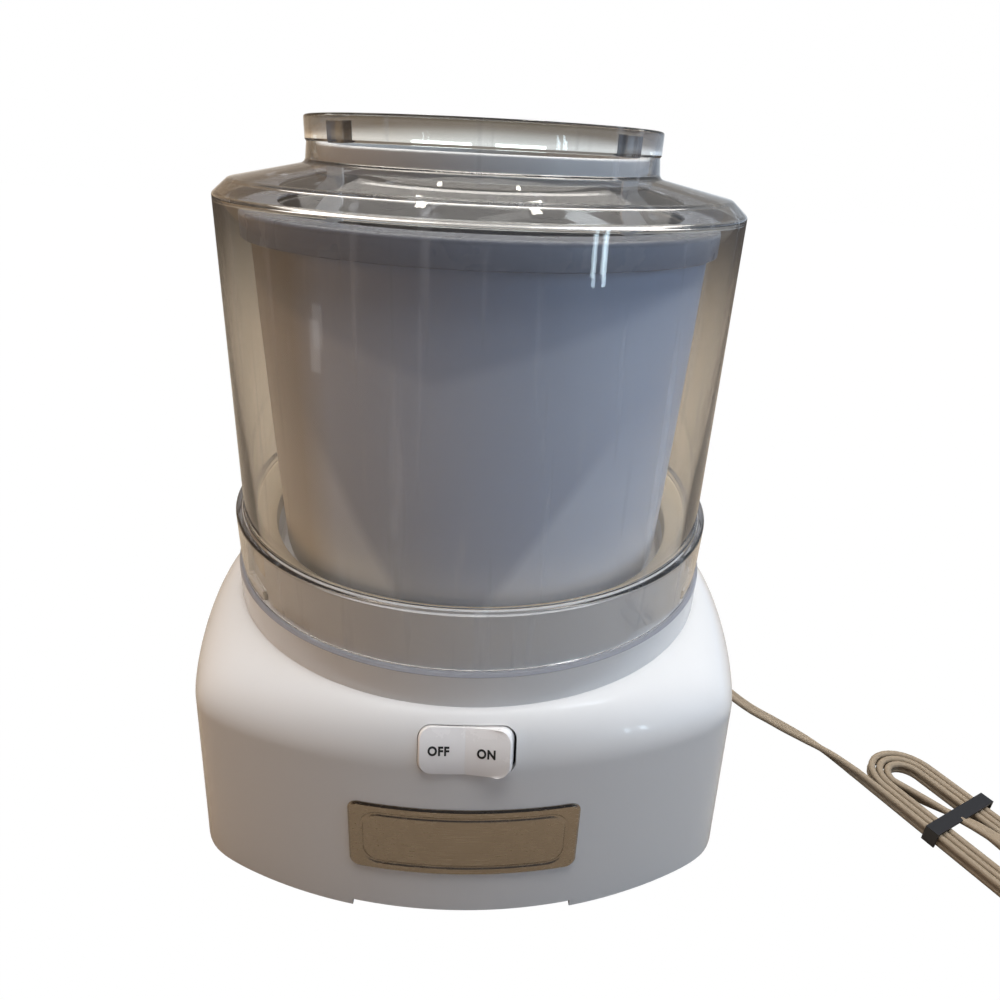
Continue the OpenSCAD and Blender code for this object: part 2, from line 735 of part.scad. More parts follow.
module cooling_fan() {
    color("dimgray") at_motor() translate([0, 0, motor_low + 1]) difference() {
        union() {
            cylinder(r = fan_r / 3, h = fan_h, $fn = 48);
            translate([0, 0, fan_h - 1.6]) cylinder(r = fan_r, h = 1.6);
            for (a = [0:45:315]) rotate([0, 0, a]) translate([fan_r / 3 - 1, -0.8, 0])
                cube([fan_r * 2 / 3 + 0.9, 1.6, fan_h - 0.5]);
        }
        translate([0, 0, -1]) cylinder(r = motor_shaft_r + 0.02, h = 20, $fn = 48);
    }
}

module motor_stator() {
    color("slategray") at_motor() translate([0, 0, stack_z]) difference() {
        translate([-stator_half_w, coil_bar_y - coil_bar_w / 2, 0])
            cube([2 * stator_half_w, 22 - coil_bar_y + coil_bar_w / 2, stack_h]);
        translate([0, 0, -1]) cylinder(r = stator_bore, h = stack_h + 2);
        translate([-window_half_w, coil_bar_y + coil_bar_w / 2, -1])
            cube([2 * window_half_w, -18.5 - coil_bar_y - coil_bar_w / 2, stack_h + 2]);
        for (s = [-1, 1]) translate([s * motor_leg_x, s * motor_leg_y, -1])
            cylinder(r = screw_r + 0.1, h = stack_h + 2, $fn = 24);
        for (s = [-1, 1]) translate([s * shading_x, -s * shading_y, stack_h / 2])
            cube([4.6, 2, stack_h + 2], center = true);
    }
}

module shading_rings() {
    color("peru") at_motor() for (s = [-1, 1]) translate([s * shading_x, -s * shading_y, stack_z - 1.4])
        translate([-2.2, -0.9, 0]) cube([4.4, 1.8, stack_h + 2.8]);
}

bobbin_flange = 1.4;
module coil_bobbin() {
    y0 = coil_bar_y - coil_bar_w / 2 - 0.2;
    y1 = coil_bar_y + coil_bar_w / 2 + 0.2;
    color("black") at_motor() difference() {
        union() {
            translate([-window_half_w + 0.2, y0 - 1, stack_z - 1.2])
                cube([2 * window_half_w - 0.4, y1 - y0 + 2, stack_h + 2.4]);
            for (x = [-window_half_w + 0.2, window_half_w - 0.2 - bobbin_flange]) {
                translate([x, y0 - 5, stack_z - 7]) cube([bobbin_flange, y1 - y0 + 10, stack_h + 14]);
            }
        }
        translate([-window_half_w - 1, y0, stack_z - 0.2])
            cube([2 * window_half_w + 2, y1 - y0, stack_h + 0.4]);
    }
}

module motor_coil() {
    y0 = coil_bar_y - coil_bar_w / 2 - 1.3;
    y1 = coil_bar_y + coil_bar_w / 2 + 1.3;
    half = window_half_w - 0.3 - bobbin_flange;
    color("chocolate") at_motor() difference() {
        translate([-half, y0 - 3.6, stack_z - 6.2]) cube([2 * half, y1 - y0 + 7.2, stack_h + 12.4]);
        translate([-half - 1, y0, stack_z - 1.3]) cube([2 * half + 2, y1 - y0, stack_h + 2.6]);
    }
}

// A bearing bridge: a strip across the stator with two legs standing on it
module motor_bracket(z, leg_z, leg_h) {
    difference() {
        union() {
            rotate([0, 0, atan2(motor_leg_y, motor_leg_x)])
                translate([-stator_half_w - 1, -motor_leg_r - 1, z])
                    cube([2 * stator_half_w + 2, 2 * motor_leg_r + 2, bracket_t]);
            translate([0, 0, z]) cylinder(r = 9, h = bracket_t);
            for (s = [-1, 1]) translate([s * motor_leg_x, s * motor_leg_y, leg_z])
                cylinder(r = motor_leg_r, h = leg_h, $fn = 32);
        }
        translate([0, 0, z - 1]) cylinder(r = 4.6, h = bracket_t + 2, $fn = 48);
        for (s = [-1, 1]) translate([s * motor_leg_x, s * motor_leg_y, 0])
            cylinder(r = screw_r + 0.1, h = gearbox_top, $fn = 24);
    }
}

module motor_bracket_top() {
    z = stack_z + stack_h + bracket_off - bracket_t;
    color("lightgray") at_motor() motor_bracket(z, stack_z + stack_h + seat_gap, bracket_off - seat_gap);
}

module motor_bracket_bottom() {
    color("lightgray") at_motor() motor_bracket(stack_z - bracket_off, stack_z - bracket_off,
        bracket_off - seat_gap);
}

module motor_bushes() {
    heights = [stack_z - bracket_off, stack_z + stack_h + bracket_off - bracket_t];
    color("darkgoldenrod") at_motor() for (z = heights) {
        translate([0, 0, z - 1.5]) difference() {
            cylinder(r = 4.58, h = bracket_t + 3, $fn = 48);
            translate([0, 0, -1]) cylinder(r = motor_shaft_r + run_gap, h = 10, $fn = 48);
        }
    }
}

module motor_screws() {
    head = stack_z - bracket_off - 1.6 - seat_gap;
    color("silver") for (p = motor_screw_spots) translate([p[0], p[1], head])
        screw(3.2, 1.6, screw_r - 0.25, gearbox_low + gearbox_t - head - 0.2);
}

// ---- the bowl -----------------------------------------------------------------------------

shell_top = bowl_z - 3.4;
function bowl_r(z) = bowl_low_r + (bowl_top_r - bowl_low_r) * (z - 136) / (240 - 136);
function liner_at(z) = liner_low_r + (liner_r - liner_low_r) * (z - liner_z) / (bowl_z - liner_z);
socket_top = dog_top + 0.8;

// A quarter of a circle from angle a0 to a1, as points
function arc(c, r, a0, a1, n = 8) = [for (i = [0:n]) let (a = a0 + (a1 - a0) * i / n)
    [c[0] + r * cos(a), c[1] + r * sin(a)]];

module bowl_shell() {
    low = bowl_floor_z;
    corner = 7;
    color("slategray") difference() {
        union() {
            rotate_extrude() polygon(concat([[0, low]],
                arc([bowl_r(low + corner) - corner, low + corner], corner, -90, 0),
                [[bowl_r(shell_top), shell_top], [bowl_r(shell_top) - bowl_t, shell_top]],
                arc([bowl_r(low + corner) - corner, low + corner], corner - bowl_t, 0, -90),
                [[0, low + bowl_floor_t - (bowl_floor_t - bowl_t)]]));
            drive_dog(socket_wall + 0.4, low, socket_top + socket_wall);
        }
        drive_dog(0.4, low - 1, socket_top);
        translate([plug_x, 0, low - 1]) cylinder(r = plug_r + seat_gap, h = 8, $fn = 48);
    }
}

module bowl_plug() {
    low = bowl_floor_z + 0.4;
    color("dimgray") translate([plug_x, 0, low]) {
        cylinder(r = plug_r, h = bowl_t, $fn = 48);
        translate([0, 0, bowl_t - 0.2]) cylinder(r = plug_r + 1.2, h = 1.2, $fn = 48);
    }
}

liner_corner = 8;
flange_z = shell_top + seat_gap;
module bowl_liner() {
    low = liner_z;
    color("silver") rotate_extrude() polygon(concat([[0, low]],
        arc([liner_at(low + liner_corner) - liner_corner, low + liner_corner], liner_corner, -90, 0),
        [[liner_at(flange_z), flange_z + liner_t], [bowl_r(shell_top) - 0.4, flange_z + liner_t],
            [bowl_r(shell_top) - 0.4, flange_z], [liner_at(flange_z) + liner_t, flange_z]],
        arc([liner_at(low + liner_corner) - liner_corner, low + liner_corner],
            liner_corner + liner_t, 0, -90),
        [[0, low - liner_t]]));
}

module bowl_seal() {
    z = flange_z + liner_t + seat_gap;
    color("black") translate([0, 0, z]) difference() {
        cylinder(r = bowl_r(shell_top) - 1.5, h = 0.8);
        translate([0, 0, -1]) cylinder(r = liner_at(flange_z) + 3, h = 3);
    }
}

module bowl_rim() {
    cap_low = flange_z + liner_t + seat_gap + 0.9;
    inner = liner_at(bowl_z) + 0.2;
    skirt = bowl_r(shell_top) + seat_gap;
    color("slategray") rotate_extrude() polygon([[inner, cap_low], [inner, bowl_z - 0.6],
        [inner + 0.6, bowl_z], [bowl_rim_r - 1.2, bowl_z], [bowl_rim_r, bowl_z - 1.2],
        [bowl_rim_r, bowl_z - bowl_rim_h], [skirt, bowl_z - bowl_rim_h], [skirt, cap_low]]);
}

module coolant_fill() {
    low = bowl_floor_z + bowl_t + 0.3;
    top = flange_z - 12;
    corner = 4.5;
    color("lightskyblue") difference() {
        rotate_extrude() polygon(concat([[0, low]],
            arc([bowl_r(low) - bowl_t - 0.3 - corner, low + corner], corner, -90, 0),
            [[bowl_r(top) - bowl_t - 0.3, top], [liner_at(top) + liner_t + 0.3, top]],
            arc([liner_at(liner_z + liner_corner) - liner_corner, liner_z + liner_corner],
                liner_corner + liner_t + 0.3, 0, -90),
            [[0, liner_z - liner_t - 0.3]]));
        drive_dog(socket_wall + 0.7, low - 1, socket_top + socket_wall + 0.3);
        translate([plug_x, 0, low - 1]) cylinder(r = plug_r + 1.6, h = 3, $fn = 48);
    }
}

// ---- the mixing arm ------------------------------------------------------------------------

arm_foot_z = liner_z + gap;
arm_low = arm_foot_z + 3;
arm_band = 8;
ring_low = arm_top_z - 8;
ring_wall = 3.2;

module arm_blade_outline() {
    post = arm_ring_r - 2;
    difference() {
        polygon([for (s = [1, -1]) for (p = s > 0 ?
            [[liner_low_r - 12, arm_low], [arm_half_w, arm_low + 13], [arm_half_w, bowl_z - 16],
                [post, bowl_z + 1], [post, ring_low + 1]] :
            [[post, ring_low + 1], [post, bowl_z + 1], [arm_half_w, bowl_z - 16],
                [arm_half_w, arm_low + 13], [liner_low_r - 12, arm_low]]) [s * p[0], p[1]]]);
        polygon([for (s = [1, -1]) for (p = s > 0 ?
            [[10, arm_low + arm_band + 4], [liner_low_r - 18, arm_low + arm_band + 4],
                [arm_half_w - arm_band, arm_low + 26], [arm_half_w - arm_band, bowl_z - 20],
                [post - 6, bowl_z - 3], [post - 6, ring_low + 2]] :
            [[post - 6, ring_low + 2], [post - 6, bowl_z - 3], [arm_half_w - arm_band, bowl_z - 20],
                [arm_half_w - arm_band, arm_low + 26], [liner_low_r - 18, arm_low + arm_band + 4],
                [10, arm_low + arm_band + 4]]) [s * p[0], p[1]]]);
    }
    translate([-5, arm_low]) square([10, 46]);
    translate([0, arm_low + 46]) circle(5, $fn = 48);
}

module mixing_arm() {
    color("white") union() {
        rotate([90, 0, 0]) linear_extrude(arm_t, center = true) arm_blade_outline();
        translate([0, 0, ring_low]) difference() {
            cylinder(r = arm_ring_r, h = arm_top_z - ring_low);
            translate([0, 0, -1]) cylinder(r = arm_ring_r - ring_wall, h = 20);
        }
        translate([0, 0, arm_foot_z]) cylinder(r = 7, h = 12, $fn = 48);
    }
}

// ---- the lid --------------------------------------------------------------------------------

module lid_profile() {
    ledge = deck_z + lid_clear;
    lip_z = total_h - lip_h;
    in_low = lid_low_r - lid_t;
    in_top = lid_top_r - lid_t;
    polygon(concat(
        [[step_r - 0.3, skirt_z], [step_r, step_z - 0.6], [step_r - 0.6, step_z],
            [lid_low_r + 0.6, step_z], [lid_low_r, step_z + 0.8], [lid_top_r, shoulder_z - 0.6],
            [lid_top_r - 0.5, shoulder_z + 0.3], [crown_r, crown_z], [mouth_r + 3, mouth_base_z - 0.9]],
        arc([mouth_r + 2.4 - lip_step, mouth_base_z + 2], 2.4, 250, 180, 5),
        [[mouth_r - lip_step, lip_z], [mouth_r, lip_z + 0.6]],
        arc([mouth_r - 2.6, total_h - 2.6], 2.6, 0, 70, 5),
        arc([mouth_r - lid_t + 0.9, total_h - 1], 1, 110, 180, 4),
        [[mouth_r - lid_t - 0.2, mouth_base_z + 0.4], [mouth_r + 0.6, mouth_base_z - 3],
            [crown_r - 1.2, crown_z - lid_t], [in_top - 0.2, shoulder_z - 1.6],
            [in_low, step_z], [in_low, ledge], [step_r - skirt_t, ledge],
            [step_r - skirt_t - 0.2, skirt_z]]));
}

module lid() {
    inside = step_r - skirt_t;
    mouth_in = mouth_r - lid_t;
    color("lightgray", 0.4) union() {
        rotate_extrude($fn = 180) lid_profile();
        for (i = [0:lug_count - 1]) rotate([0, 0, first_lug + i * 360 / lug_count - lug_wide / 2])
            rotate_extrude(angle = lug_wide) translate([collar_r - lug_deep + gap, lug_z])
                square([inside - collar_r + lug_deep - gap + 0.4, lug_h]);
        for (a = key_spots) rotate([0, 0, a - key_wide / 2]) rotate_extrude(angle = key_wide)
            polygon([[mouth_in + 0.6, arm_top_z + 1], [mouth_in - 3, arm_top_z + 1],
                [mouth_in - 3.6, total_h - 2.4], [mouth_in + 0.6, total_h - 2.4]]);
    }
}

// ---- wires and the cord ---------------------------------------------------------------------

function unit(v) = v / norm(v);

// Rings of an oval tube along points p, half width a across and half height b
function tube_rings(p, a, b, sides) = [for (i = [0:len(p) - 1])
    let (t = unit(p[min(i + 1, len(p) - 1)] - p[max(i - 1, 0)]),
        side = unit(cross(t, abs(t[2]) > 0.95 ? [1, 0, 0] : [0, 0, 1])), up = cross(side, t))
    for (k = [0:sides - 1]) let (w = 360 * (k + 0.5) / sides)
        p[i] + side * a * cos(w) + up * b * sin(w)];

module tube(p, a, b, sides) {
    n = len(p);
    polyhedron(tube_rings(p, a, b, sides), concat(
        [[for (k = [0:sides - 1]) k]],
        [for (i = [0:n - 2], k = [0:sides - 1]) let (j = (k + 1) % sides)
            [i * sides + j, i * sides + k, (i + 1) * sides + k, (i + 1) * sides + j]],
        [[for (k = [sides - 1:-1:0]) (n - 1) * sides + k]]));
}

// A smooth curve through hand-placed points, steps to each stretch
function smooth_at(p, i, t) =
    let (a = p[max(i - 1, 0)], b = p[i], c = p[i + 1], d = p[min(i + 2, len(p) - 1)])
    0.5 * (2 * b + (c - a) * t + (2 * a - 5 * b + 4 * c - d) * t * t +
        (3 * b - a - 3 * c + d) * t * t * t);
function smooth(p, steps) = concat(
    [for (i = [0:len(p) - 2], k = [0:steps - 1]) smooth_at(p, i, k / steps)], [p[len(p) - 1]]);

lead_r = 1.3;
lead_end = -24 - lead_r - gap;
lead_routes = [
    [[cord_exit[0] - 3, cord_exit[1] - 8, 18], [54, 98, 17], [40, 84, 14], [32, 40, 12], [28, -10, 12],
        [22, -50, 20], [14, -70, 46], from_switch([9, 0, -36]), from_switch([9, 0, lead_end])],
    [[cord_exit[0] + 3, cord_exit[1] - 8, 18], [62, 90, 16], [50, 70, 12], [36, 30, 10], [12, 6, 12],
        [-8, 0, 22], [-12.7, 2, 30]],
    [[-34, -1.9, 26], [-34, -6, 26.4], [-32, -26, 30], [-22, -54, 46], [-6, -72, 66],
        from_switch([0, 0, -36]),
        from_switch([0, 0, lead_end])]];

module supply_leads() {
    color("black") for (r = lead_routes) tube(smooth(r, 3), lead_r, lead_r, 8);
}

relief_r = 7;
module strain_relief() {
    color("lightgray") translate([cord_exit[0], 0, cord_exit[2]]) rotate([-90, 0, 0]) difference() {
        union() {
            translate([0, 0, cord_exit[1] - 7]) cylinder(r = relief_r, h = 9, $fn = 48);
            translate([0, 0, cord_exit[1] + 1.9]) cylinder(r = relief_r + 2, h = 1.6, $fn = 48);
            translate([0, 0, cord_exit[1] + 3.4])
                cylinder(r1 = relief_r - 0.6, r2 = cord_w / 2 + 1, h = relief_len - 3.4, $fn = 48);
        }
    }
}

module cord_run() {
    color("linen") tube(smooth(cord_route, 3), cord_w / 2, cord_t / 2, 10);
}

module in_hank_frame() {
    translate([hank_from[0], hank_from[1], 0]) rotate([0, 0, hank_angle]) children();
}

module cord_hank() {
    color("linen") in_hank_frame() linear_extrude(hank_h) union() {
        translate([hank_w / 2, -hank_w / 2]) square([hank_len - hank_w, hank_w]);
        for (x = [hank_w / 2, hank_len - hank_w / 2]) translate([x, 0]) circle(hank_w / 2);
    }
}

module cord_tie() {
    x = hank_len * 0.4;
    t = 0.8;
    color("black") in_hank_frame() translate([x, 0, 0]) difference() {
        translate([-3, -hank_w / 2 - gap - t, 0]) cube([6, hank_w + 2 * (gap + t), hank_h + gap + t]);
        translate([-4, -hank_w / 2 - gap, -1]) cube([8, hank_w + 2 * gap, hank_h + gap + 1]);
    }
}

module plug_body() {
    color("linen") in_hank_frame() hull() {
        translate([plug_from, -cord_w / 2, hank_h]) cube([2, cord_w, cord_t]);
        translate([plug_at, -9, hank_h]) cube([15, 18, 12]);
    }
}

module plug_blades() {
    color("silver") in_hank_frame() for (s = [-1, 1]) {
        translate([plug_at + 15, s * 6.35 - 0.75, hank_h + 3]) cube([16, 1.5, 6.3]);
    }
}

base_housing();
base_plate();
rubber_feet();
base_screws();
name_plate();
switch_body();
switch_rocker();
switch_terminals();
gearbox_housing();
gearbox_cover();
gearbox_screws();
gear_shafts();
gear_washers();
hub_bush();
hub_seal();
drive_hub();
output_gear();
hub_clip();
third_stage_gear();
second_stage_gear();
motor_pinion();
motor_shaft();
motor_rotor();
cooling_fan();
motor_stator();
shading_rings();
coil_bobbin();
motor_coil();
motor_bracket_top();
motor_bracket_bottom();
motor_bushes();
motor_screws();
bowl_shell();
bowl_liner();
bowl_rim();
bowl_seal();
coolant_fill();
bowl_plug();
mixing_arm();
lid();
supply_leads();
strain_relief();
cord_run();
cord_hank();
cord_tie();
plug_body();
plug_blades();
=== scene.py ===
# %% [markdown]
# # A countertop ice cream maker
# The machine has a white moulded base, a double-walled freezer bowl that spins on it, a still
# mixing arm and a tall clear lid. This file adds the looks: smoother skins for what shows, a
# material for every piece, the lead on the table, the light and the camera. Everything is in
# metres, and sizes that were thought out in millimetres are multiplied by MM.

# %% Load the frame
import math
from types import SimpleNamespace as Sizes

import bmesh
import bpy
import numpy as np
from mathutils import Matrix, Vector


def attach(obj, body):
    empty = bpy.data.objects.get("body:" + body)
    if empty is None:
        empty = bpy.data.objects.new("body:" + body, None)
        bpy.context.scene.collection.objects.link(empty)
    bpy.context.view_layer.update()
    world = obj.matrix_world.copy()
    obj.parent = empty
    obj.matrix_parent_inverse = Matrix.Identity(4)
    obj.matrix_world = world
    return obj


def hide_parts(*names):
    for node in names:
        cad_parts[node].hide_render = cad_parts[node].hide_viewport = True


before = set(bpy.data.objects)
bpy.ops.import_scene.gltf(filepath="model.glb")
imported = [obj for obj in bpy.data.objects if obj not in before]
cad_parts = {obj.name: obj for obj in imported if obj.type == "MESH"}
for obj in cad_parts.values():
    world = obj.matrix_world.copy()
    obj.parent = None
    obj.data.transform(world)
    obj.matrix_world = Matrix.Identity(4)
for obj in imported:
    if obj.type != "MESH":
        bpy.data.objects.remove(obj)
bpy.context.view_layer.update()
MM = 0.001

# %% [markdown]
# ## The camera
# The camera comes first, because every later choice is judged through it. It stands a little
# lower than the top of the lid, about 30 cm in front of the axis, and looks down by 25.6 degrees,
# turned slightly to the right and rolled by almost three degrees, as a hand-held camera is. Its
# rotation is built from those three angles, so each one can be tuned by itself.

# %% Camera
CAMERA_AT = Vector((-1.64, -311.61, 277.07)) * MM
PAN, PITCH, ROLL = 0.046, -0.44637, 0.05026
LENS, SENSOR = 26.193, 36


def camera_turn(pan, pitch, roll):
    ahead = Vector((math.sin(pan) * math.cos(pitch), math.cos(pan) * math.cos(pitch), math.sin(pitch)))
    right = Vector((math.cos(pan), -math.sin(pan), 0))
    up = right.cross(ahead)
    right, up = (right * math.cos(roll) + up * math.sin(roll),
                 up * math.cos(roll) - right * math.sin(roll))
    return Matrix((right, up, -ahead)).transposed()


camera_data = bpy.data.cameras.new("camera")
camera_data.lens = LENS
camera_data.sensor_width = SENSOR
camera_data.clip_start = 0.01
camera_data.clip_end = 20
camera = bpy.data.objects.new("camera", camera_data)
camera.matrix_world = Matrix.Translation(CAMERA_AT) @ camera_turn(PAN, PITCH, ROLL).to_4x4()
bpy.context.scene.collection.objects.link(camera)
bpy.context.scene.camera = camera
print("camera at", tuple(round(x, 3) for x in camera.location))

# %% [markdown]
# ## Pieces
# A piece is a mesh whose object sits at the origin, so its place is in its points. One helper
# makes it from points and faces. Another merges double points, turns the faces outwards and marks
# sharp edges by angle, so that broad curves stay smooth. It runs again after every cut.

# %% Tools: pieces
def give_finish(piece, finish):
    piece.data.materials.clear()
    piece.data.materials.append(finish)


def tidy_mesh(piece, sharp=30):
    work = bmesh.new()
    work.from_mesh(piece.data)
    bmesh.ops.remove_doubles(work, verts=work.verts, dist=1e-6)
    bmesh.ops.recalc_face_normals(work, faces=work.faces)
    work.to_mesh(piece.data)
    work.free()
    piece.data.shade_smooth()
    piece.data.set_sharp_from_angle(angle=math.radians(sharp))


def new_piece(name, verts, faces, finish=None, sharp=30):
    mesh = bpy.data.meshes.new(name)
    mesh.from_pydata([tuple(v) for v in verts], [], [tuple(f) for f in faces])
    mesh.validate()
    piece = bpy.data.objects.new(name, mesh)
    bpy.context.scene.collection.objects.link(piece)
    tidy_mesh(piece, sharp)
    if finish:
        give_finish(piece, finish)
    return piece


def made_real(piece):
    """The plain mesh that a piece's modifiers or text settings give."""
    seen = bpy.context.evaluated_depsgraph_get()
    return bpy.data.meshes.new_from_object(piece.evaluated_get(seen))


print("piece tools ready")

# %% [markdown]
# ## Outlines
# Most visible pieces of this machine start from a flat outline. Three helpers draw the common
# ones. Another rounds any outline's corners, each with its own radius, by a small curve that
# starts and ends on the two sides. A soft corner is what catches the light on a real edge.

# %% Tools: outlines
def circle(radius, sides):
    return [(radius * math.cos(a), radius * math.sin(a))
            for a in np.linspace(0, 2 * math.pi, sides, False)]


def rectangle(width, height):
    return [(sx * width / 2, sy * height / 2) for sx, sy in ((1, 1), (-1, 1), (-1, -1), (1, -1))]


def rounded_rectangle(width, height, radius, steps=8):
    return [(sx * (width / 2 - radius) + radius * math.cos(math.radians(a)),
             sy * (height / 2 - radius) + radius * math.sin(math.radians(a)))
            for sx, sy, start in ((1, 1, 0), (-1, 1, 90), (-1, -1, 180), (1, -1, 270))
            for a in [start + 90 * k / steps for k in range(steps + 1)]]


def rounded(outline, radii, steps):
    """A closed outline with its corners rounded; radii gives one radius for each corner."""
    count, out = len(outline), []
    for i, (point, radius) in enumerate(zip(outline, radii)):
        p = Vector(point)
        before, after = Vector(outline[i - 1]) - p, Vector(outline[(i + 1) % count]) - p
        angle = before.angle(after)
        reach = min(radius / math.tan(angle / 2), before.length * 0.49, after.length * 0.49)
        if radius <= 0 or reach < 1e-7:
            out.append(p)
            continue
        a, b = p + before.normalized() * reach, p + after.normalized() * reach
        for k in range(steps + 1):
            t = k / steps
            out.append(a * (1 - t) ** 2 + p * 2 * t * (1 - t) + b * t * t)
    return [(v.x, v.y) for v in out]


def metres(corners, steps):
    """Corners of (radius, height, rounding) in mm as a rounded outline in metres."""
    return rounded([(r * MM, z * MM) for r, z, _ in corners], [c * MM for _, _, c in corners], steps)


print("a circle of 6 points:", [tuple(round(x, 2) for x in p) for p in circle(1, 6)])

# %% [markdown]
# ## Rings of points
# A piece that is turned, lofted or swept is a row of rings with faces between them. The rings
# either close on themselves, as in a turned wall, or end in a cap. Two or three hundred points a
# ring look round, and a modifier such as Screw would leave less say over each point.

# %% Tools: rings of points
def grid_faces(rows, columns, close_rows, close_columns):
    return [(i * columns + j, i * columns + (j + 1) % columns,
             (i + 1) % rows * columns + (j + 1) % columns, (i + 1) % rows * columns + j)
            for i in range(rows if close_rows else rows - 1)
            for j in range(columns if close_columns else columns - 1)]


def tube(rings):
    """Points and faces of a tube through equal rings, with a cap on each end."""
    verts, n = [v for ring in rings for v in ring], len(rings[0])
    caps = [tuple(range(n))[::-1], tuple(range(len(verts) - n, len(verts)))]
    return verts, grid_faces(len(rings), n, False, True) + caps


def turned(name, outline, finish, sides, sharp=30):
    """A closed outline of (radius, height) points turned about the Z axis."""
    around = [2 * math.pi * k / sides for k in range(sides)]
    verts = [(r * math.cos(a), r * math.sin(a), z) for r, z in outline for a in around]
    return new_piece(name, verts, grid_faces(len(outline), sides, True, True), finish, sharp)


def ring_sector(name, r0, r1, z0, z1, start, width, steps=12):
    """A block bent round the axis, in mm, from the angle start over width degrees."""
    angles = [math.radians(start + width * k / steps) for k in range(steps + 1)]
    return new_piece(name, *tube([[
        (r * math.cos(a) * MM, r * math.sin(a) * MM, z * MM)
        for r, z in ((r0, z0), (r1, z0), (r1, z1), (r0, z1))] for a in angles]))


print("faces of a cube's tube:", len(tube([rectangle(1, 1)] * 2)[1]))

# %% [markdown]
# ## Cutting, joining and softening
# Openings and joined parts are Booleans, which are applied at once, so that what follows works on
# a plain mesh. Their cutters are prisms: an outline in millimetres, carried from one height to
# another and put in place by a matrix. A bevel that stays live takes the sharpness off an edge.

# %% Tools: cutting
FROM_MM = Matrix.Scale(MM, 4)
UPRIGHT = Matrix.Rotation(math.pi / 2, 4, "X")


def in_mm(x, y, z):
    """A place whose middle is at x, y, z and whose unit is the millimetre."""
    return Matrix.Translation(Vector((x, y, z)) * MM) @ FROM_MM


def prism(name, outline, low, high, place=FROM_MM):
    return new_piece(name, *tube([[place @ Vector((x, y, z)) for x, y in outline]
                                  for z in (low, high)]))


def cut(piece, cutter, how="DIFFERENCE"):
    """Cuts cutter out of piece for good, or joins it on, and removes the cutter."""
    modifier = piece.modifiers.new("cut", "BOOLEAN")
    modifier.operation = how
    modifier.solver = "EXACT"
    modifier.object = cutter
    result = made_real(piece)
    piece.modifiers.clear()
    piece.data = result
    bpy.data.objects.remove(cutter)


def soften(piece, width, segments, angle):
    """Rounds the edges that are sharper than angle degrees, by width in mm."""
    bevel = piece.modifiers.new("soft_edges", "BEVEL")
    bevel.width = width * MM
    bevel.segments = segments
    bevel.limit_method = "ANGLE"
    bevel.angle_limit = math.radians(angle)


print("one millimetre from the origin:", tuple(round(x, 4) for x in in_mm(0, 0, 1).translation))

# %% [markdown]
# ## The lead's route
# The lead is a flat twin cable, 6.4 mm wide. It leaves the strain relief at the back, drops to
# the table, runs along the right side of the base and is wound there in a flat oval of three
# turns, held by a strap, with the plug lying on top. The route is one smooth curve through
# given points, the same ones as in the CAD source.

# %% Lead: its route
CORD_W, CORD_T = 6.4 * MM, 3.2 * MM
CORD_LIES = 1.7
CORD_ROUTE = [(62, 149, 18), (62, 156, 17), (63, 163, 12), (66, 170, 5)]
CORD_ROUTE += [(x, y, CORD_LIES) for x, y in (
    (72, 177), (83, 182), (98, 181), (112, 174), (124, 162), (133, 146), (139, 127), (142, 106),
    (143, 84), (143, 60), (144, 40), (149, 20), (158, 4), (169, -8), (180, -20), (189, -32),
    (196.6, -45.6))]


def smooth_line(points, steps):
    """A curve through all the points, with steps points from each to the next."""
    p = [Vector(q) for q in points]
    out = []
    for i in range(len(p) - 1):
        a, b, c, d = p[max(i - 1, 0)], p[i], p[i + 1], p[min(i + 2, len(p) - 1)]
        for k in range(steps):
            t = k / steps
            out.append(0.5 * (2 * b + (c - a) * t + (2 * a - 5 * b + 4 * c - d) * t * t
                              + (3 * b - a - 3 * c + d) * t ** 3))
    return out + [p[-1]]


def length_of(points):
    return sum((b - a).length for a, b in zip(points, points[1:]))


route = [p * MM for p in smooth_line(CORD_ROUTE, 5)]
print("lead on the table:", round(length_of(route), 3), "m")

# %% [markdown]
# ## The lead's section
# A round curve bevel could follow the route, but a twin lead has a groove down the middle and
# bends only over its flat side. So its section is drawn, two round lobes that meet in a groove,
# and swept by hand. At each point of the line it is told which way its flat side faces.

# %% Lead: the twin section swept along a line
LOBE = CORD_T / 2
GROOVE = math.radians(38)
TWIN = [(side * (CORD_W / 2 - LOBE + LOBE * math.cos(a)), side * LOBE * math.sin(a))
        for side in (1, -1) for a in np.linspace(GROOVE - math.pi, math.pi - GROOVE, 13)]


def heading(points, i):
    """The direction of the line at its point i."""
    return (points[min(i + 1, len(points) - 1)] - points[max(i - 1, 0)]).normalized()


def sweep(name, points, section, finish, ups):
    rings = []
    for i, p in enumerate(points):
        along = heading(points, i)
        side = along.cross(ups[i]).normalized()
        rings.append([p + side * x + side.cross(along) * y for x, y in section])
    return new_piece(name, *tube(rings), finish, sharp=50)


print("points round the lead:", len(TWIN))

# %% [markdown]
# ## Numbers that become materials
# A material here is a network of nodes. Writing each Math node by hand hides the idea, so a small
# class wraps a node's socket and lets Python's own operators add the nodes: 1 - mask, or
# 0.2 + 0.1 * grain. A yes or no such as height > 0.12 is a number too, 1 or 0, so masks can be
# multiplied.

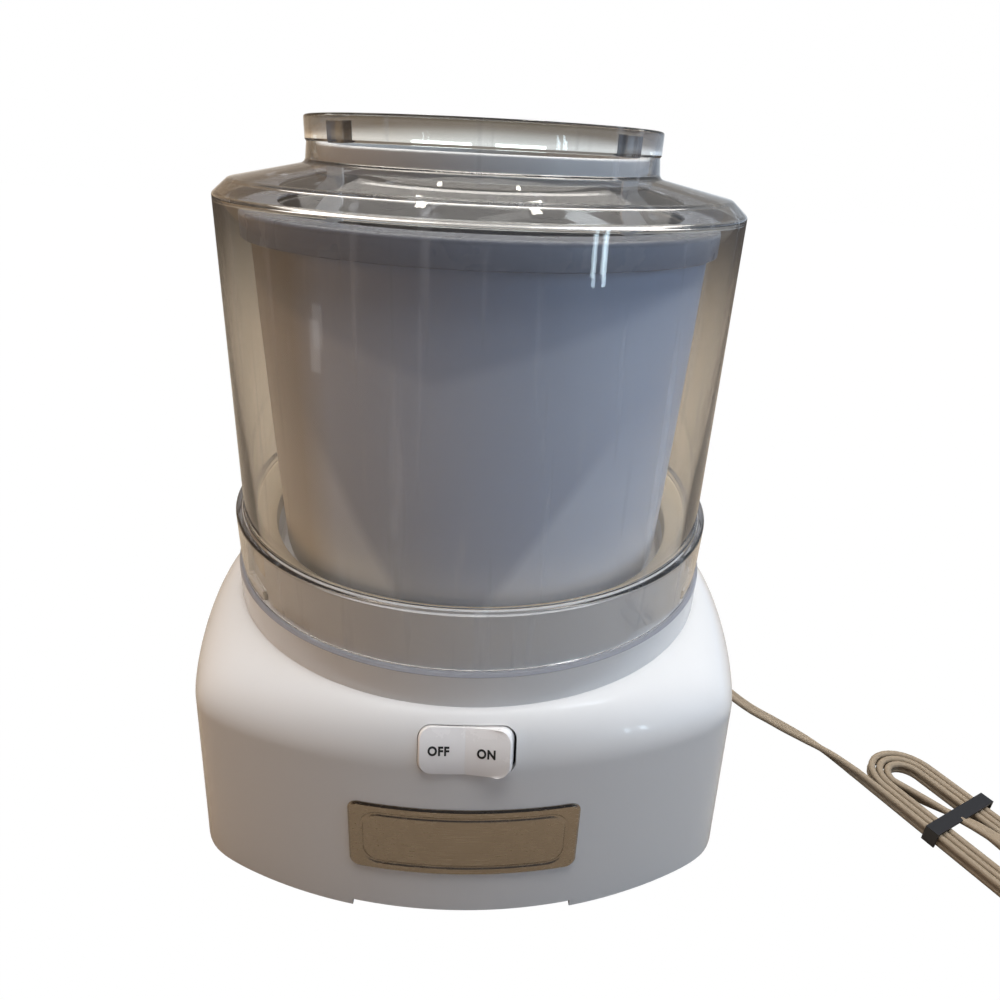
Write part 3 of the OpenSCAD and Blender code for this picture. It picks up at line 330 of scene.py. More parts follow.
# %% Shader expressions: a wire
class Wire:
    """A node's output, with operators that add Math nodes."""

    def __init__(self, maker, socket):
        self.maker, self.socket = maker, socket

    def reckon(self, operation, *values):
        return self.maker.add("ShaderNodeMath", {"operation": operation}, values)

    def __add__(self, other):
        return self.reckon("ADD", self, other)

    def __sub__(self, other):
        return self.reckon("SUBTRACT", self, other)

    def __rsub__(self, other):
        return self.reckon("SUBTRACT", other, self)

    def __mul__(self, other):
        return self.reckon("MULTIPLY", self, other)

    def __gt__(self, other):
        return self.reckon("GREATER_THAN", self, other)

    def __abs__(self):
        return self.reckon("ABSOLUTE", self)

    def or_larger(self, other):
        return self.reckon("MAXIMUM", self, other)

    __radd__, __rmul__ = __add__, __mul__


print("wire class ready")

# %% [markdown]
# ## One method for every other node
# Any node that isn't plain maths comes from one method, which takes its type, its settings and
# what goes into its sockets. The short methods after it name what this object's finishes use
# often: a blend of two colours, and a number that is moved from one range to another. Two colours
# are never sent through a Math node, because that would turn them grey.

# %% Shader expressions: a tree of nodes
class Nodes:
    def __init__(self, tree):
        self.tree = tree

    def add(self, kind, settings=(), values=(), output=0):
        node = self.tree.nodes.new(kind)
        for key, value in dict(settings).items():
            if key == "stops":
                self.set_stops(node.color_ramp, value)
            else:
                setattr(node, key, value)
        for key, value in values.items() if isinstance(values, dict) else enumerate(values):
            self.feed(node.inputs[key], value)
        return Wire(self, node.outputs[output])

    def set_stops(self, ramp, stops):
        while len(ramp.elements) < len(stops):
            ramp.elements.new(1)
        for element, (place, color) in zip(ramp.elements, stops):
            element.position, element.color = place, (*color, 1)

    def feed(self, socket, value):
        """Links a wire to a socket, or sets the socket to a number, a vector or a colour."""
        if isinstance(value, Wire):
            self.tree.links.new(value.socket, socket)
        else:
            socket.default_value = (*value, 1) if socket.type == "RGBA" else value

    def spread(self, value, low, high, to_low=0.0, to_high=1.0):
        """Moves a value from one range to another and stops it at the ends."""
        return self.add("ShaderNodeMapRange", {"clamp": True},
                        {"Value": value, "From Min": low, "From Max": high,
                         "To Min": to_low, "To Max": to_high})

    def mix(self, factor, a, b, how="MIX"):
        """A blend of two colours, by the sockets that the Mix node has for colours."""
        return self.add("ShaderNodeMix", {"data_type": "RGBA", "blend_type": how},
                        {0: factor, 6: a, 7: b}, 2)


print("node tools ready")

# %% [markdown]
# ## A material
# A finish is a node tree with one main shader. What is the same all over a surface is set
# straight on the shader's own socket. Patterns read Object coordinates, which are metres from the
# machine's axis and from the table, so a mask can say where on the machine it lies.

# %% Shader expressions: a finish
class Finish(Nodes):
    def __init__(self, name, color, roughness, **constants):
        self.material = bpy.data.materials.new(name)
        self.material.use_nodes = True
        super().__init__(self.material.node_tree)
        self.shader = self.tree.nodes["Principled BSDF"]
        self.set(Base_Color=color, Roughness=roughness, **constants)

    def set(self, **values):
        for key, value in values.items():
            self.feed(self.shader.inputs[key.replace("_", " ")], value)

    def place(self, scale=(1, 1, 1)):
        where = self.add("ShaderNodeTexCoord", output="Object")
        return self.add("ShaderNodeMapping", {}, {"Vector": where, "Scale": scale})

    def axis(self, name):
        return self.add("ShaderNodeSeparateXYZ", {}, [self.place()], name)

    def reach(self):
        """The distance from the machine's axis."""
        return self.add("ShaderNodeVectorMath", {"operation": "LENGTH"}, [self.place((1, 1, 0))], "Value")

    def grain(self, scale, detail, roughness=0.55, stretch=(1, 1, 1)):
        return self.add("ShaderNodeTexNoise", {},
                        {"Vector": self.place(stretch), "Scale": scale, "Detail": detail,
                         "Roughness": roughness}, "Fac")

    def bump(self, height, strength, distance):
        self.set(Normal=self.add("ShaderNodeBump", {}, {"Height": height, "Strength": strength,
                                                        "Distance": distance}, "Normal"))


def dimmed(color, share):
    return tuple(c * share for c in color)


print("finish class ready")

# %% [markdown]
# ## Moulded plastics
# A moulded part has an even colour. What gives it life is a faint ripple left by the mould, a
# slow change of tone and smears that dull the gloss a little. One recipe with its numbers changed
# serves the floor plate, the rocker, the gears, the rubber feet and the ink of the two words.

# %% Plastics
def moulded(name, color, roughness, ripple, smear=0.1, coat=0.0, tone=0.04, **more):
    f = Finish(name, color, roughness, Coat_Weight=coat, Coat_Roughness=0.035, **more)
    cloud = f.grain(14, 4)
    fine = f.grain(900, 2)
    f.set(Roughness=f.spread(f.grain(38, 5, 0.7), 0.4, 0.75, roughness, roughness + smear),
          Base_Color=f.mix(f.spread(cloud, 0.35, 0.7), dimmed(color, 1 - tone), color))
    f.bump(f.grain(90, 2) + fine * 0.15, ripple, 0.001)
    return f.material


plain_white = moulded("plain_white_plastic", (0.68, 0.67, 0.65), 0.45, 0.05)
rocker_white = moulded("rocker_white", (0.86, 0.83, 0.81), 0.24, 0.02, 0.08, 0.2, 0.02)
arm_white = moulded("arm_white", (0.75, 0.75, 0.75), 0.3, 0.02, 0.1, 0.1, 0.02)
black_plastic = moulded("black_plastic", (0.02, 0.02, 0.022), 0.42, 0.05)
grey_plastic = moulded("grey_plastic", (0.3, 0.32, 0.35), 0.5, 0.08)
nylon = moulded("natural_nylon", (0.74, 0.71, 0.62), 0.4, 0.04, Subsurface_Weight=0.05)
acetal = moulded("white_acetal", (0.76, 0.76, 0.74), 0.35, 0.03)
rubber = moulded("dark_rubber", (0.025, 0.025, 0.025), 0.7, 0.2, 0.15)
cord_skin = moulded("lead_off_white", (0.29, 0.225, 0.155), 0.45, 0.01, 0.1, 0.0, 0.05)
letter_ink = moulded("letter_ink", (0.012, 0.012, 0.013), 0.4, 0.02, 0.05, 0.0, 0.0)
coolant = moulded("coolant_gel", (0.5, 0.7, 0.85), 0.3, 0.02)
print("materials after the plastics:", len(bpy.data.materials))

# %% [markdown]
# ## The housing's plastic
# The base is glossy off-white, with painted shade in two places: the deck under the lid is
# painted a darker warm cream, as the shade and warm light inside the lid, and the corner where
# the lid's skirt stands is painted dark grey, as the shade under the skirt. Both lie at known
# heights and distances from the axis, so two masks made of those find them.

# %% Housing plastic
HOUSING_WHITE = (0.75, 0.735, 0.72)


def housing_plastic():
    f = Finish("white_plastic", HOUSING_WHITE, 0.24, Coat_Weight=0.4, Coat_Roughness=0.03)
    reach, height = f.reach(), f.axis("Z")
    # Painted shade: the deck inside the lid is painted a darker warm cream.
    deck = f.spread(reach, 0.1015, 0.1005) * (height > 0.12)
    # Painted shade: the ledge under the lid's skirt is painted dark grey.
    skirt_shade = f.spread(reach, 0.1028, 0.1034) * (height > 0.1088)
    shaded_deck = f.mix(deck, HOUSING_WHITE, (0.68, 0.56, 0.4))
    f.set(Roughness=f.spread(f.grain(9, 3), 0.4, 0.7, 0.22, 0.28),
          Base_Color=f.mix(skirt_shade, shaded_deck, (0.3, 0.3, 0.32)))
    f.bump(f.grain(60, 2), 0.006, 0.001)
    return f.material


white_plastic = housing_plastic()
print("nodes in it:", len(white_plastic.node_tree.nodes))

# %% [markdown]
# ## Metals
# Bright parts differ by how they were made. Turned and ground steel has fine rings or lines,
# cast aluminium a soft speckle, copper wire is wound side by side, and the laminated stack shows
# its sheets as thin level lines. Each pattern is a noise stretched one way, and it drives both a
# small bump and the roughness.

# %% Metals
def metal(name, color, roughness, stretch=(1, 1, 1), scale=400, depth=0.05):
    f = Finish(name, color, roughness, Metallic=1.0)
    lines = f.grain(scale, 3, 0.6, stretch)
    f.set(Roughness=f.spread(lines, 0.3, 0.7, roughness * 0.75, roughness * 1.3),
          Base_Color=f.mix(f.spread(f.grain(25, 3), 0.3, 0.7), dimmed(color, 0.9), color))
    f.bump(lines, depth, 0.0004)
    return f.material


ground_steel = metal("ground_steel", (0.62, 0.62, 0.64), 0.28, (1, 1, 0.05))
screw_steel = metal("screw_steel", (0.55, 0.55, 0.56), 0.35)
cast_aluminium = metal("cast_aluminium", (0.62, 0.62, 0.63), 0.45, depth=0.15, scale=700)
brass = metal("brass", (0.78, 0.6, 0.3), 0.3, (0.1, 1, 1))
bronze = metal("sintered_bronze", (0.5, 0.36, 0.2), 0.5, depth=0.2, scale=1200)
stack_steel = metal("laminated_steel", (0.3, 0.31, 0.33), 0.4, (0.02, 0.02, 4), 500, 0.4)
copper_wire = metal("copper_wire", (0.72, 0.34, 0.17), 0.3, (4, 0.02, 0.02), 500, 0.5)
liner_metal = metal("liner_aluminium", (0.42, 0.4, 0.385), 0.34, (0.06, 0.06, 1), 600, 0.06)
print("materials after the metals:", len(bpy.data.materials))

# %% [markdown]
# ## The plate's brushed metal
# The plate on the front is brushed from side to side under a warm lacquer. Its lines are a noise
# stretched a hundred times along the plate, and they dull the gloss more than they change the
# colour. A slow stain over them keeps the plate from looking new.

# %% Plate metal
def plate_finish():
    f = Finish("brushed_plate", (0.4, 0.345, 0.285), 0.3, Metallic=1.0)
    brushed = f.grain(2600, 3, 0.6, (0.01, 1, 1))
    stain = f.grain(30, 4, 0.6)
    tone = f.mix(f.spread(brushed, 0.3, 0.7), (0.33, 0.28, 0.225), (0.4, 0.345, 0.28))
    f.set(Base_Color=f.mix(f.spread(stain, 0.5, 0.8, 0, 0.25), tone, (0.27, 0.225, 0.175)),
          Roughness=f.spread(brushed, 0.25, 0.75, 0.2, 0.3))
    f.bump(brushed, 0.015, 0.0003)
    return f.material


plate_metal = plate_finish()
print("nodes in it:", len(plate_metal.node_tree.nodes))

# %% [markdown]
# ## The lid's clear plastic
# The lid is clear with a faint smoke tint, so it gets full transmission, and the tint builds up
# by itself where the wall is seen edge on. Three places are painted darker by masks, as painted
# shade for the dark edges that thick clear plastic shows: the lip's edge, the ledge over the skirt
# at the sides, and the keys in the mouth, which are painted nearly black. Lamps can't shine
# through a refracting wall, so for shadow and diffuse rays the wall is simply see-through. Long
# wipe marks of dust are mixed in last.

# %% Clear plastic
SMOKE = (0.93, 0.925, 0.905)


def lid_color(f):
    reach, height = f.reach(), f.axis("Z")
    # Painted shade: the keys, the lip's edge and the ledge at the sides are painted dark, for the dark
    # edges of thick clear plastic.
    keys = (0.0646 - reach) * 4000 * (height > 0.2765)
    at_sides = f.spread(abs(f.axis("X")), 0.04, 0.08, 0.1, 0.65)
    ledge = f.spread(reach, 0.1038, 0.1045) * (height > 0.1335) * at_sides
    lip = f.spread(height, 0.2842, 0.2852, 0, 0.7)
    shaded_edges = f.mix(f.spread(lip + ledge, 0, 1), SMOKE, (0.42, 0.37, 0.29))
    return f.mix(f.spread(keys, 0, 1), shaded_edges, (0.04, 0.035, 0.03))


def clear_smoke():
    f = Finish("clear_smoke", SMOKE, 0.03, Transmission_Weight=1.0, IOR=1.5)
    haze = f.grain(16, 5, 0.7)
    scuffs = f.grain(240, 3, 0.6, (1, 1, 0.12))
    wipes = f.grain(150, 2, 0.5, (1, 1, 0.05))
    f.set(Roughness=f.spread(haze, 0.45, 0.8, 0.012, 0.07) + f.spread(scuffs, 0.68, 0.8, 0, 0.08),
          Base_Color=lid_color(f))
    f.bump(f.grain(30, 2), 0.02, 0.001)
    dust = f.add("ShaderNodeBsdfDiffuse", {}, {"Color": (0.8, 0.82, 0.86)})
    see_through = f.add("ShaderNodeBsdfTransparent", {}, {"Color": (0.88, 0.885, 0.9)})
    passing = (f.add("ShaderNodeLightPath", output="Is Shadow Ray")
               + f.add("ShaderNodeLightPath", output="Is Diffuse Ray"))
    dusty = f.add("ShaderNodeMixShader", {}, [f.spread(wipes, 0.62, 0.78, 0.012, 0.22),
                                              Wire(f, f.shader.outputs[0]), dust])
    either = f.add("ShaderNodeMixShader", {}, [passing, dusty, see_through])
    f.feed(f.tree.nodes["Material Output"].inputs["Surface"], either)
    return f.material


clear = clear_smoke()
print("nodes in it:", len(clear.node_tree.nodes))

# %% [markdown]
# ## The bowl's plastic
# The bowl is a satin blue-grey moulding. Its lower flanks and its middle, in front, are painted
# paler in patches with slanting edges, as painted reflections, and the side that faces left is
# painted warm, as a painted reflection of warm light. A slanting edge is a straight line in x
# and z, bent a little by a slow noise, so each patch is the space under such a line. Fine
# lighter upright streaks lie over everything.

# %% Bowl plastic
def painted_reflections(f, x, y, z):
    """How much painted reflection makes the surface paler: two flanks and a wedge in the middle, all in
    front.
    """
    wave = f.grain(12, 3, 0.5) * 0.006
    left = x * -1 - z * 0.5 + 0.041 - wave
    right = x - z * 0.667 + 0.0837 - wave
    flank = f.spread(left.or_larger(right), -0.001, 0.005) * f.spread(z, 0.2, 0.165)
    slope = abs(x + 0.014) * 0.33 + 0.211 - z
    wedge = f.spread(slope, -0.001, 0.004) * f.spread(slope, 0.0, 0.07, 1, 0.15)
    return (flank * 0.75 + wedge * 0.4) * f.spread(y, 0.02, -0.03)


def bowl_finish():
    f = Finish("bowl_blue_grey", (0.45, 0.47, 0.53), 0.36)
    x, y, z = (f.axis(name) for name in "XYZ")
    cloud = f.spread(f.grain(9, 5, 0.6), 0.35, 0.7)
    # Lighter upright streaks, which also set the roughness.
    upright_streaks = f.grain(150, 4, 0.7, (1, 1, 0.12))
    color = f.mix(cloud, (0.48, 0.54, 0.67), (0.545, 0.605, 0.745))
    # Painted reflections: pale patches on the front of the bowl.
    color = f.mix(f.spread(painted_reflections(f, x, y, z), 0, 1), color, (0.77, 0.825, 0.93))
    # Painted reflection: warm light on the side of the bowl that faces left.
    warm = f.spread(x, -0.05, -0.063) * f.spread(y, 0.03, -0.03)
    color = f.mix(warm, color, (0.83, 0.71, 0.55), "MULTIPLY")
    f.set(Base_Color=f.mix(f.spread(upright_streaks, 0.58, 0.8, 0, 0.4), color, (0.72, 0.74, 0.78)),
          Roughness=f.spread(upright_streaks, 0.4, 0.75, 0.3, 0.5))
    f.bump(f.grain(500, 2), 0.05, 0.0004)
    return f.material


bowl_grey = bowl_finish()
print("nodes in it:", len(bowl_grey.node_tree.nodes))

# %% [markdown]
# ## The bowl's rim
# The rim is the same plastic in a darker grey, and its flat top is painted darker still, as
# painted shade. The change lies at one height, over about two millimetres.

# %% Rim plastic
RIM_GREY = (0.27, 0.295, 0.36)


def rim_finish():
    f = Finish("rim_grey", RIM_GREY, 0.3)
    # Painted shade: the rim's flat top is darker.
    top = f.spread(f.axis("Z"), 0.2524, 0.2542)
    f.set(Base_Color=f.mix(top, RIM_GREY, (0.15, 0.155, 0.17)),
          Roughness=f.spread(f.grain(60, 4), 0.4, 0.7, 0.24, 0.4))
    f.bump(f.grain(500, 2), 0.04, 0.0004)
    return f.material


rim_grey = rim_finish()
print("all finishes:", len(bpy.data.materials))

# %% [markdown]
# ## The base housing
# The housing is one moulding. Its plan is a square whose four walls bulge, so the four walls'
# distances are melted with a soft minimum, and the corners come out rounded by themselves. A
# square with filleted corners would need its own arcs and would show where they begin.

# %% Housing: plan
BASE = Sizes(half_w=121.3, half_d=117.8, side_r=280, front_r=208, draft=3.4, crease=73.0,
             neck_z=95.5, neck_r=106.9, wall=2.8, ledge=109.8, collar=102.6, deck=133.0,
             well_r=91.3, well_edge=126.7, well_floor=110.0, floor_t=3, hole=14.6, low=0.6)
MELT = 40


def plan_radius(angle, grow):
    total = 0
    for turn, half, r in ((0, BASE.half_w, BASE.side_r), (math.pi, BASE.half_w, BASE.side_r),
                          (math.pi / 2, BASE.half_d, BASE.front_r),
                          (-math.pi / 2, BASE.half_d, BASE.front_r)):
        c = half - r
        wall = c * np.cos(angle - turn) + np.sqrt((r + grow) ** 2 - (c * np.sin(angle - turn)) ** 2)
        total += wall ** -MELT
    return total ** (-1 / MELT)


print("from the axis to the front and to a corner:",
      [round(float(plan_radius(math.radians(angle), 0)), 1) for angle in (-90, -45)], "mm")

# %% [markdown]
# ## The housing's profile
# The walls lean out a little towards the table. Above the crease a shoulder, a quarter of a
# superellipse, draws the square in to a round neck. A column of points goes up the outside, over
# the deck, down into the well and back along the inside, and each point says how much of the
# square is left there. Turned round the axis, the column makes a closed wall.

# %% Housing: profile
SHOULDER = 1.93


def housing_column():
    """(round radius, share of the square plan, growth, height) up the outside and back inside."""
    b, inner, drop, q = BASE, BASE.neck_r - BASE.wall, 2.5, 2 / SHOULDER
    steps = (12, 24, 36, 48, 60, 70, b.crease)
    lean = [b.draft * (1 - z / b.crease) for z in (b.low, *steps)]
    column = [(0, 1, -0.8 + lean[0], b.low), (0, 1, lean[0], b.low + 0.8)]
    column += [(0, 1, grow, z) for grow, z in zip(lean[1:], steps)]
    bend = [math.radians(a) for a in (4, 8, 13, 18, 24, 30, 37, 44, 51, 58, 65, 72, 78, 83, 87, 90)]
    rise = b.neck_z - b.crease
    column += [(b.neck_r, math.cos(a) ** q, 0, b.crease + rise * math.sin(a) ** q) for a in bend]
    column += [(r, 0, 0, z) for r, z in (
        (b.neck_r, b.neck_z + 0.7), (b.neck_r, b.ledge - 0.8), (b.neck_r - 0.8, b.ledge),
        (b.collar, b.ledge), (b.collar, b.deck - 0.5), (b.collar - 0.5, b.deck),
        (b.collar - b.wall, b.deck), (b.well_r + 0.6, b.well_edge + 0.4),
        (b.well_r, b.well_edge - 0.4), (b.well_r, b.well_floor + 1.5),
        (b.well_r - 1.5, b.well_floor), (b.hole + 0.5, b.well_floor),
        (b.hole, b.well_floor - 0.5), (b.hole, b.well_floor - b.floor_t),
        (96, b.well_floor - b.floor_t), (inner, b.well_floor - b.floor_t),
        (inner, b.neck_z - drop))]
    column += [(inner, math.cos(a) ** q, -b.wall, b.crease - drop + rise * math.sin(a) ** q)
               for a in bend[-3::-3]]
    return column + [(0, 1, -b.wall, b.crease - drop), (0, 1, lean[0] - b.wall, b.low)]


def lofted(name, column, sides, finish):
    angle = np.linspace(0, 2 * math.pi, sides, endpoint=False)
    verts = []
    for r, share, grow, z in column:
        radius = r * (1 - share) + plan_radius(angle, grow) * share
        verts += list(zip(radius * np.cos(angle) * MM, radius * np.sin(angle) * MM, [z * MM] * sides))
    return new_piece(name, verts, grid_faces(len(column), sides, True, True), finish)


housing = lofted("housing_skin", housing_column(), 360, white_plastic)
print("housing faces:", len(housing.data.polygons))

# %% [markdown]
# ## Window, foot and lead hole
# The switch sits in a window with round corners, cut square to the shoulder's slope. Its middle is
# found on the shoulder's own curve. A shallow cut-out runs along the front foot, and the lead
# leaves through a round hole at the back.

# %% Housing: window, foot and lead hole
SWITCH = Sizes(w=35.6, h=19.0, corner=5.0, tilt=17.2, low=74.4, pivot=-7.5, swing=9.0)
NOTCH = Sizes(w=87.4, depth=38, y=-119, top=4.3)
RELIEF = Sizes(x=62.0, y=121.0, z=18.0, r=7.0, flange=9.0, long=28.0, tip=4.2)


def shoulder_share(t):
    """How much of the square plan is left at the share t of the shoulder's height."""
    return (1 - t ** SHOULDER) ** (1 / SHOULDER)


switch_z = SWITCH.low + SWITCH.h / 2 * math.cos(math.radians(SWITCH.tilt))
share = shoulder_share((switch_z - BASE.crease) / (BASE.neck_z - BASE.crease))
switch_y = -(BASE.neck_r + (BASE.half_d - BASE.neck_r) * share)
SWITCH_PLACE = in_mm(0, switch_y, switch_z) @ Matrix.Rotation(math.radians(90 - SWITCH.tilt), 4, "X")

window = rounded_rectangle(SWITCH.w, SWITCH.h, SWITCH.corner)
cut(housing, prism("window", window, -14, 9, SWITCH_PLACE))
notch = rectangle(NOTCH.w, NOTCH.depth)
cut(housing, prism("foot_notch", notch, -2, NOTCH.top, in_mm(0, NOTCH.y, 0)))
lead_hole = circle(RELIEF.r + 0.1, 48)
cut(housing, prism("lead_hole", lead_hole, -20, 20, in_mm(RELIEF.x, RELIEF.y, RELIEF.z) @ UPRIGHT))
print("switch at y", round(switch_y, 1), "and z", round(switch_z, 1), "mm")

# %% [markdown]
# ## Grooves that lock the lid
# Three grooves in the collar take the lid's lugs, as a bayonet does. Each has a way in from above
# and a run to the side, as long as the lid's turn, and both are wider than the lug by some play.

# %% Housing: lock grooves
LUG = Sizes(count=3, first=213.0, wide=10.0, deep=1.9, low=111.2, high=4.0, turn=15.0, play=1.5)
GROOVE_LOW, WAY_IN_TOP, RUN_TOP = 109.9, 134, 115.8
for i in range(LUG.count):
    start = LUG.first + i * 360 / LUG.count - LUG.wide / 2 - LUG.play
    wide = LUG.wide + 2 * LUG.play
    for name, top, width in (("groove_in", WAY_IN_TOP, wide), ("groove_run", RUN_TOP, wide + LUG.turn)):
        cut(housing, ring_sector(name, BASE.collar - LUG.deep, 104, GROOVE_LOW, top, start, width))
tidy_mesh(housing, 28)
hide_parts("base_housing")
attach(housing, "base")
print("housing with its openings:", len(housing.data.polygons), "faces")

# %% [markdown]
# ## The pieces that keep their CAD shapes
# What holds the machine together is small: feet, screws, gears, the motor. Their CAD shapes are
# exact and only need the right finish. A table of finish and nodes is the clearest way to give
# each of them one.

# %% Finishes for the CAD pieces that stay
CAD_FINISHES = (
    (plain_white, "base_plate"),
    (rubber, "rubber_feet hub_seal bowl_seal bowl_plug"),
    (screw_steel, "base_screws gearbox_screws motor_screws"),
    (black_plastic, "switch_body cooling_fan coil_bobbin supply_leads cord_tie"),
    (brass, "switch_terminals motor_pinion plug_blades"),
    (grey_plastic, "gearbox_housing gearbox_cover"),
    (ground_steel, "gear_shafts hub_clip motor_shaft"),
    (nylon, "gear_washers output_gear third_stage_gear second_stage_gear"),
    (bronze, "hub_bush motor_bushes"),
    (acetal, "drive_hub"),
    (cast_aluminium, "motor_rotor motor_bracket_top motor_bracket_bottom"),
    (stack_steel, "motor_stator"),
    (copper_wire, "shading_rings motor_coil"),
    (coolant, "coolant_fill"),
    (cord_skin, "plug_body strain_relief"),
)
for finish, nodes in CAD_FINISHES:
    for node in nodes.split():
        give_finish(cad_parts[node], finish)
print("finished CAD nodes:", sum(len(nodes.split()) for _, nodes in CAD_FINISHES))

# %% [markdown]
# ## The rocker's outline
# The rocker is a block with a shallow valley across its middle: the OFF half lies flush and the ON
# half stands out, until it is pressed and the two change places. Each half is the same shape, so
# one outline is drawn for the flush half, and the other is that outline mirrored and turned about
# the pin.

# %% Rocker: outline
PROUD = 0.5
ROCKER_GAP = 0.25
half = SWITCH.w / 2 - ROCKER_GAP


def stood_out(x, z):
    a, h = math.radians(SWITCH.swing), z - SWITCH.pivot
    return (-x * math.cos(a) - h * math.sin(a), -x * math.sin(a) + h * math.cos(a) + SWITCH.pivot)


flush = [(-half + 5, SWITCH.pivot - 2), (-half, SWITCH.pivot + 1), (-half, PROUD - 0.9),
         (-half + 0.7, PROUD)]
flush += [(-half + 0.7 + (half - 1.4) * k / 6, PROUD) for k in range(1, 7)]
valley = (SWITCH.pivot - PROUD) * math.tan(math.radians(SWITCH.swing / 2))
outline = flush + [(valley, PROUD)] + [stood_out(x, z) for x, z in flush[::-1]]
outline += [(2, SWITCH.pivot - 2.2)]
print("the ON half stands out by", round(stood_out(-half, PROUD)[1] - PROUD, 1), "mm")

# %% [markdown]
# ## The rocker's block
# The outline is carried from the foot of the rocker to its top in strips. The face is crowned, so
# it is lowered towards both ends, and there the strips grow shorter, which rounds the corners. A
# bevel gives the block soft edges. The pin that it turns on is a short round bar.

# %% Rocker: block and pin
CROWN = 30.0
ROCKER_CORNER = 4.6


def crown_drop(y):
    return 0.9 * (CROWN - math.sqrt(CROWN ** 2 - y ** 2))


def rocker_strips():
    tall = SWITCH.h / 2 - 2 * ROCKER_GAP
    rows = [tall * math.sin(math.radians(a)) for a in np.linspace(-90, 90, 25)]
    strips = []
    for y in rows:
        pull = max(0.0, abs(y) - (tall - ROCKER_CORNER))
        shorten = ROCKER_CORNER - math.sqrt(max(0.0, ROCKER_CORNER ** 2 - pull ** 2))
        strips.append([])
        for x, z in outline:
            drop = crown_drop(y) if z > PROUD - 0.95 else 0
            reach = math.copysign(min(1.0, max(0.0, (abs(x) - 8) / 8)), x)
            strips[-1].append(SWITCH_PLACE @ Vector((x - reach * shorten, y, z - drop)))
    return strips


rocker = new_piece("rocker_skin", *tube(rocker_strips()), rocker_white, sharp=28)
soften(rocker, 0.45, 3, 40)
pin_place = SWITCH_PLACE @ Matrix.Translation((0, 0, SWITCH.pivot)) @ UPRIGHT
pin = prism("rocker_pin_skin", circle(1.5, 24), -10.5, 10.5, pin_place)
give_finish(pin, rocker_white)
for piece in (rocker, pin):
    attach(piece, "rocker")
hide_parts("switch_rocker")
print("rocker:", len(rocker.data.polygons), "faces")

# %% [markdown]
# ## OFF and ON
# The two words are printed on the rocker in plain bold letters. Text objects make the letters,
# which are turned to a mesh and then laid on each half's slope, a hair above the plastic. Each
# word follows the crown of the face, so no letter sinks in.

# %% Lettering
LETTER_H = 4.7
NARROW = 0.88


def word(name, text, middle, slope, lift):
    data = bpy.data.curves.new(name, "FONT")
    for key, value in dict(body=text, size=LETTER_H, align_x="CENTER", align_y="CENTER", extrude=0.03,
                           offset=LETTER_H * 0.04, resolution_u=6, space_character=1.1).items():
        setattr(data, key, value)
    letters = bpy.data.objects.new(name, data)
    bpy.context.scene.collection.objects.link(letters)
    mesh = made_real(letters)
    bpy.data.objects.remove(letters)
    tilt = Matrix.Translation((*middle, 0)) @ Matrix.Rotation(slope, 4, "Y")
    for v in mesh.vertices:
        v.co.x *= NARROW
        p = tilt @ v.co
        v.co = SWITCH_PLACE @ Vector((p.x, p.y, p.z + lift - crown_drop(p.y)))
    piece = bpy.data.objects.new(name, mesh)
    bpy.context.scene.collection.objects.link(piece)
    give_finish(piece, letter_ink)
    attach(piece, "rocker")


on_x, on_z = stood_out(-8.0, PROUD)
word("word_off", "OFF", (-10.1, 0.2), 0, PROUD + 0.03)
word("word_on", "ON", (on_x + 0.35, -0.1), -math.radians(SWITCH.swing), on_z + 0.11)
print("words laid on the rocker")

# %% [markdown]
# ## The plate on the front
# A bare brushed plate, bent to the wall's curve, with round corners, a rolled edge and a groove
# that frames its panel. Its relief is a number for each place on it: how far the face stands off
# the wall. The edge and the groove follow from how far the place lies inside a rounded rectangle.

# %% Name plate: its relief
PLATE = Sizes(w=88.0, h=32.6, z=40.7, corner=4.0, panel_w=78.4, panel_h=24.6, panel_corner=7.0)


def eased(t):
    """0 to 1 with soft ends."""
    t = max(0.0, min(1.0, t))
    return t * t * (3 - 2 * t)


def inset(x, z, w, h, corner):
    """How far a point lies inside a rectangle with round corners."""
    dx, dz = abs(x) - (w / 2 - corner), abs(z - PLATE.z) - (h / 2 - corner)
    return corner - (math.hypot(max(dx, 0), max(dz, 0)) + min(max(dx, dz), 0))


def plate_height(x, z):
    """How far the plate's face stands off the wall."""
    rim = inset(x, z, PLATE.w, PLATE.h, PLATE.corner)
    panel = inset(x, z, PLATE.panel_w, PLATE.panel_h, PLATE.panel_corner)
    groove = eased(panel / 0.8 + 1) - eased((panel - 0.5) / 0.8)
    return 0.3 + 0.7 * eased(rim / 0.9) - 0.6 * groove


print("the plate's middle stands off by", round(plate_height(0, PLATE.z), 2), "mm")

# %% [markdown]
# ## The plate's mesh
# The wall is part of a large cylinder that leans back a little. So the plate is drawn flat as a
# grid, and every point is then laid on that cylinder at its own height and pushed out by the
# relief. The grid's points crowd towards the edges, where the shape changes fastest.

# %% Name plate: its mesh
def wall_point(x, z, out):
    r = BASE.front_r + BASE.draft * (1 - z / BASE.crease) + out
    return Vector((x, BASE.front_r - BASE.half_d - math.sqrt(r * r - x * x), z)) * MM


def crowded(count, share):
    """Numbers from -1 to 1 that stand closer together towards both ends."""
    return np.sin(np.linspace(-0.5, 0.5, count) * math.pi * share) / math.sin(share / 2 * math.pi)


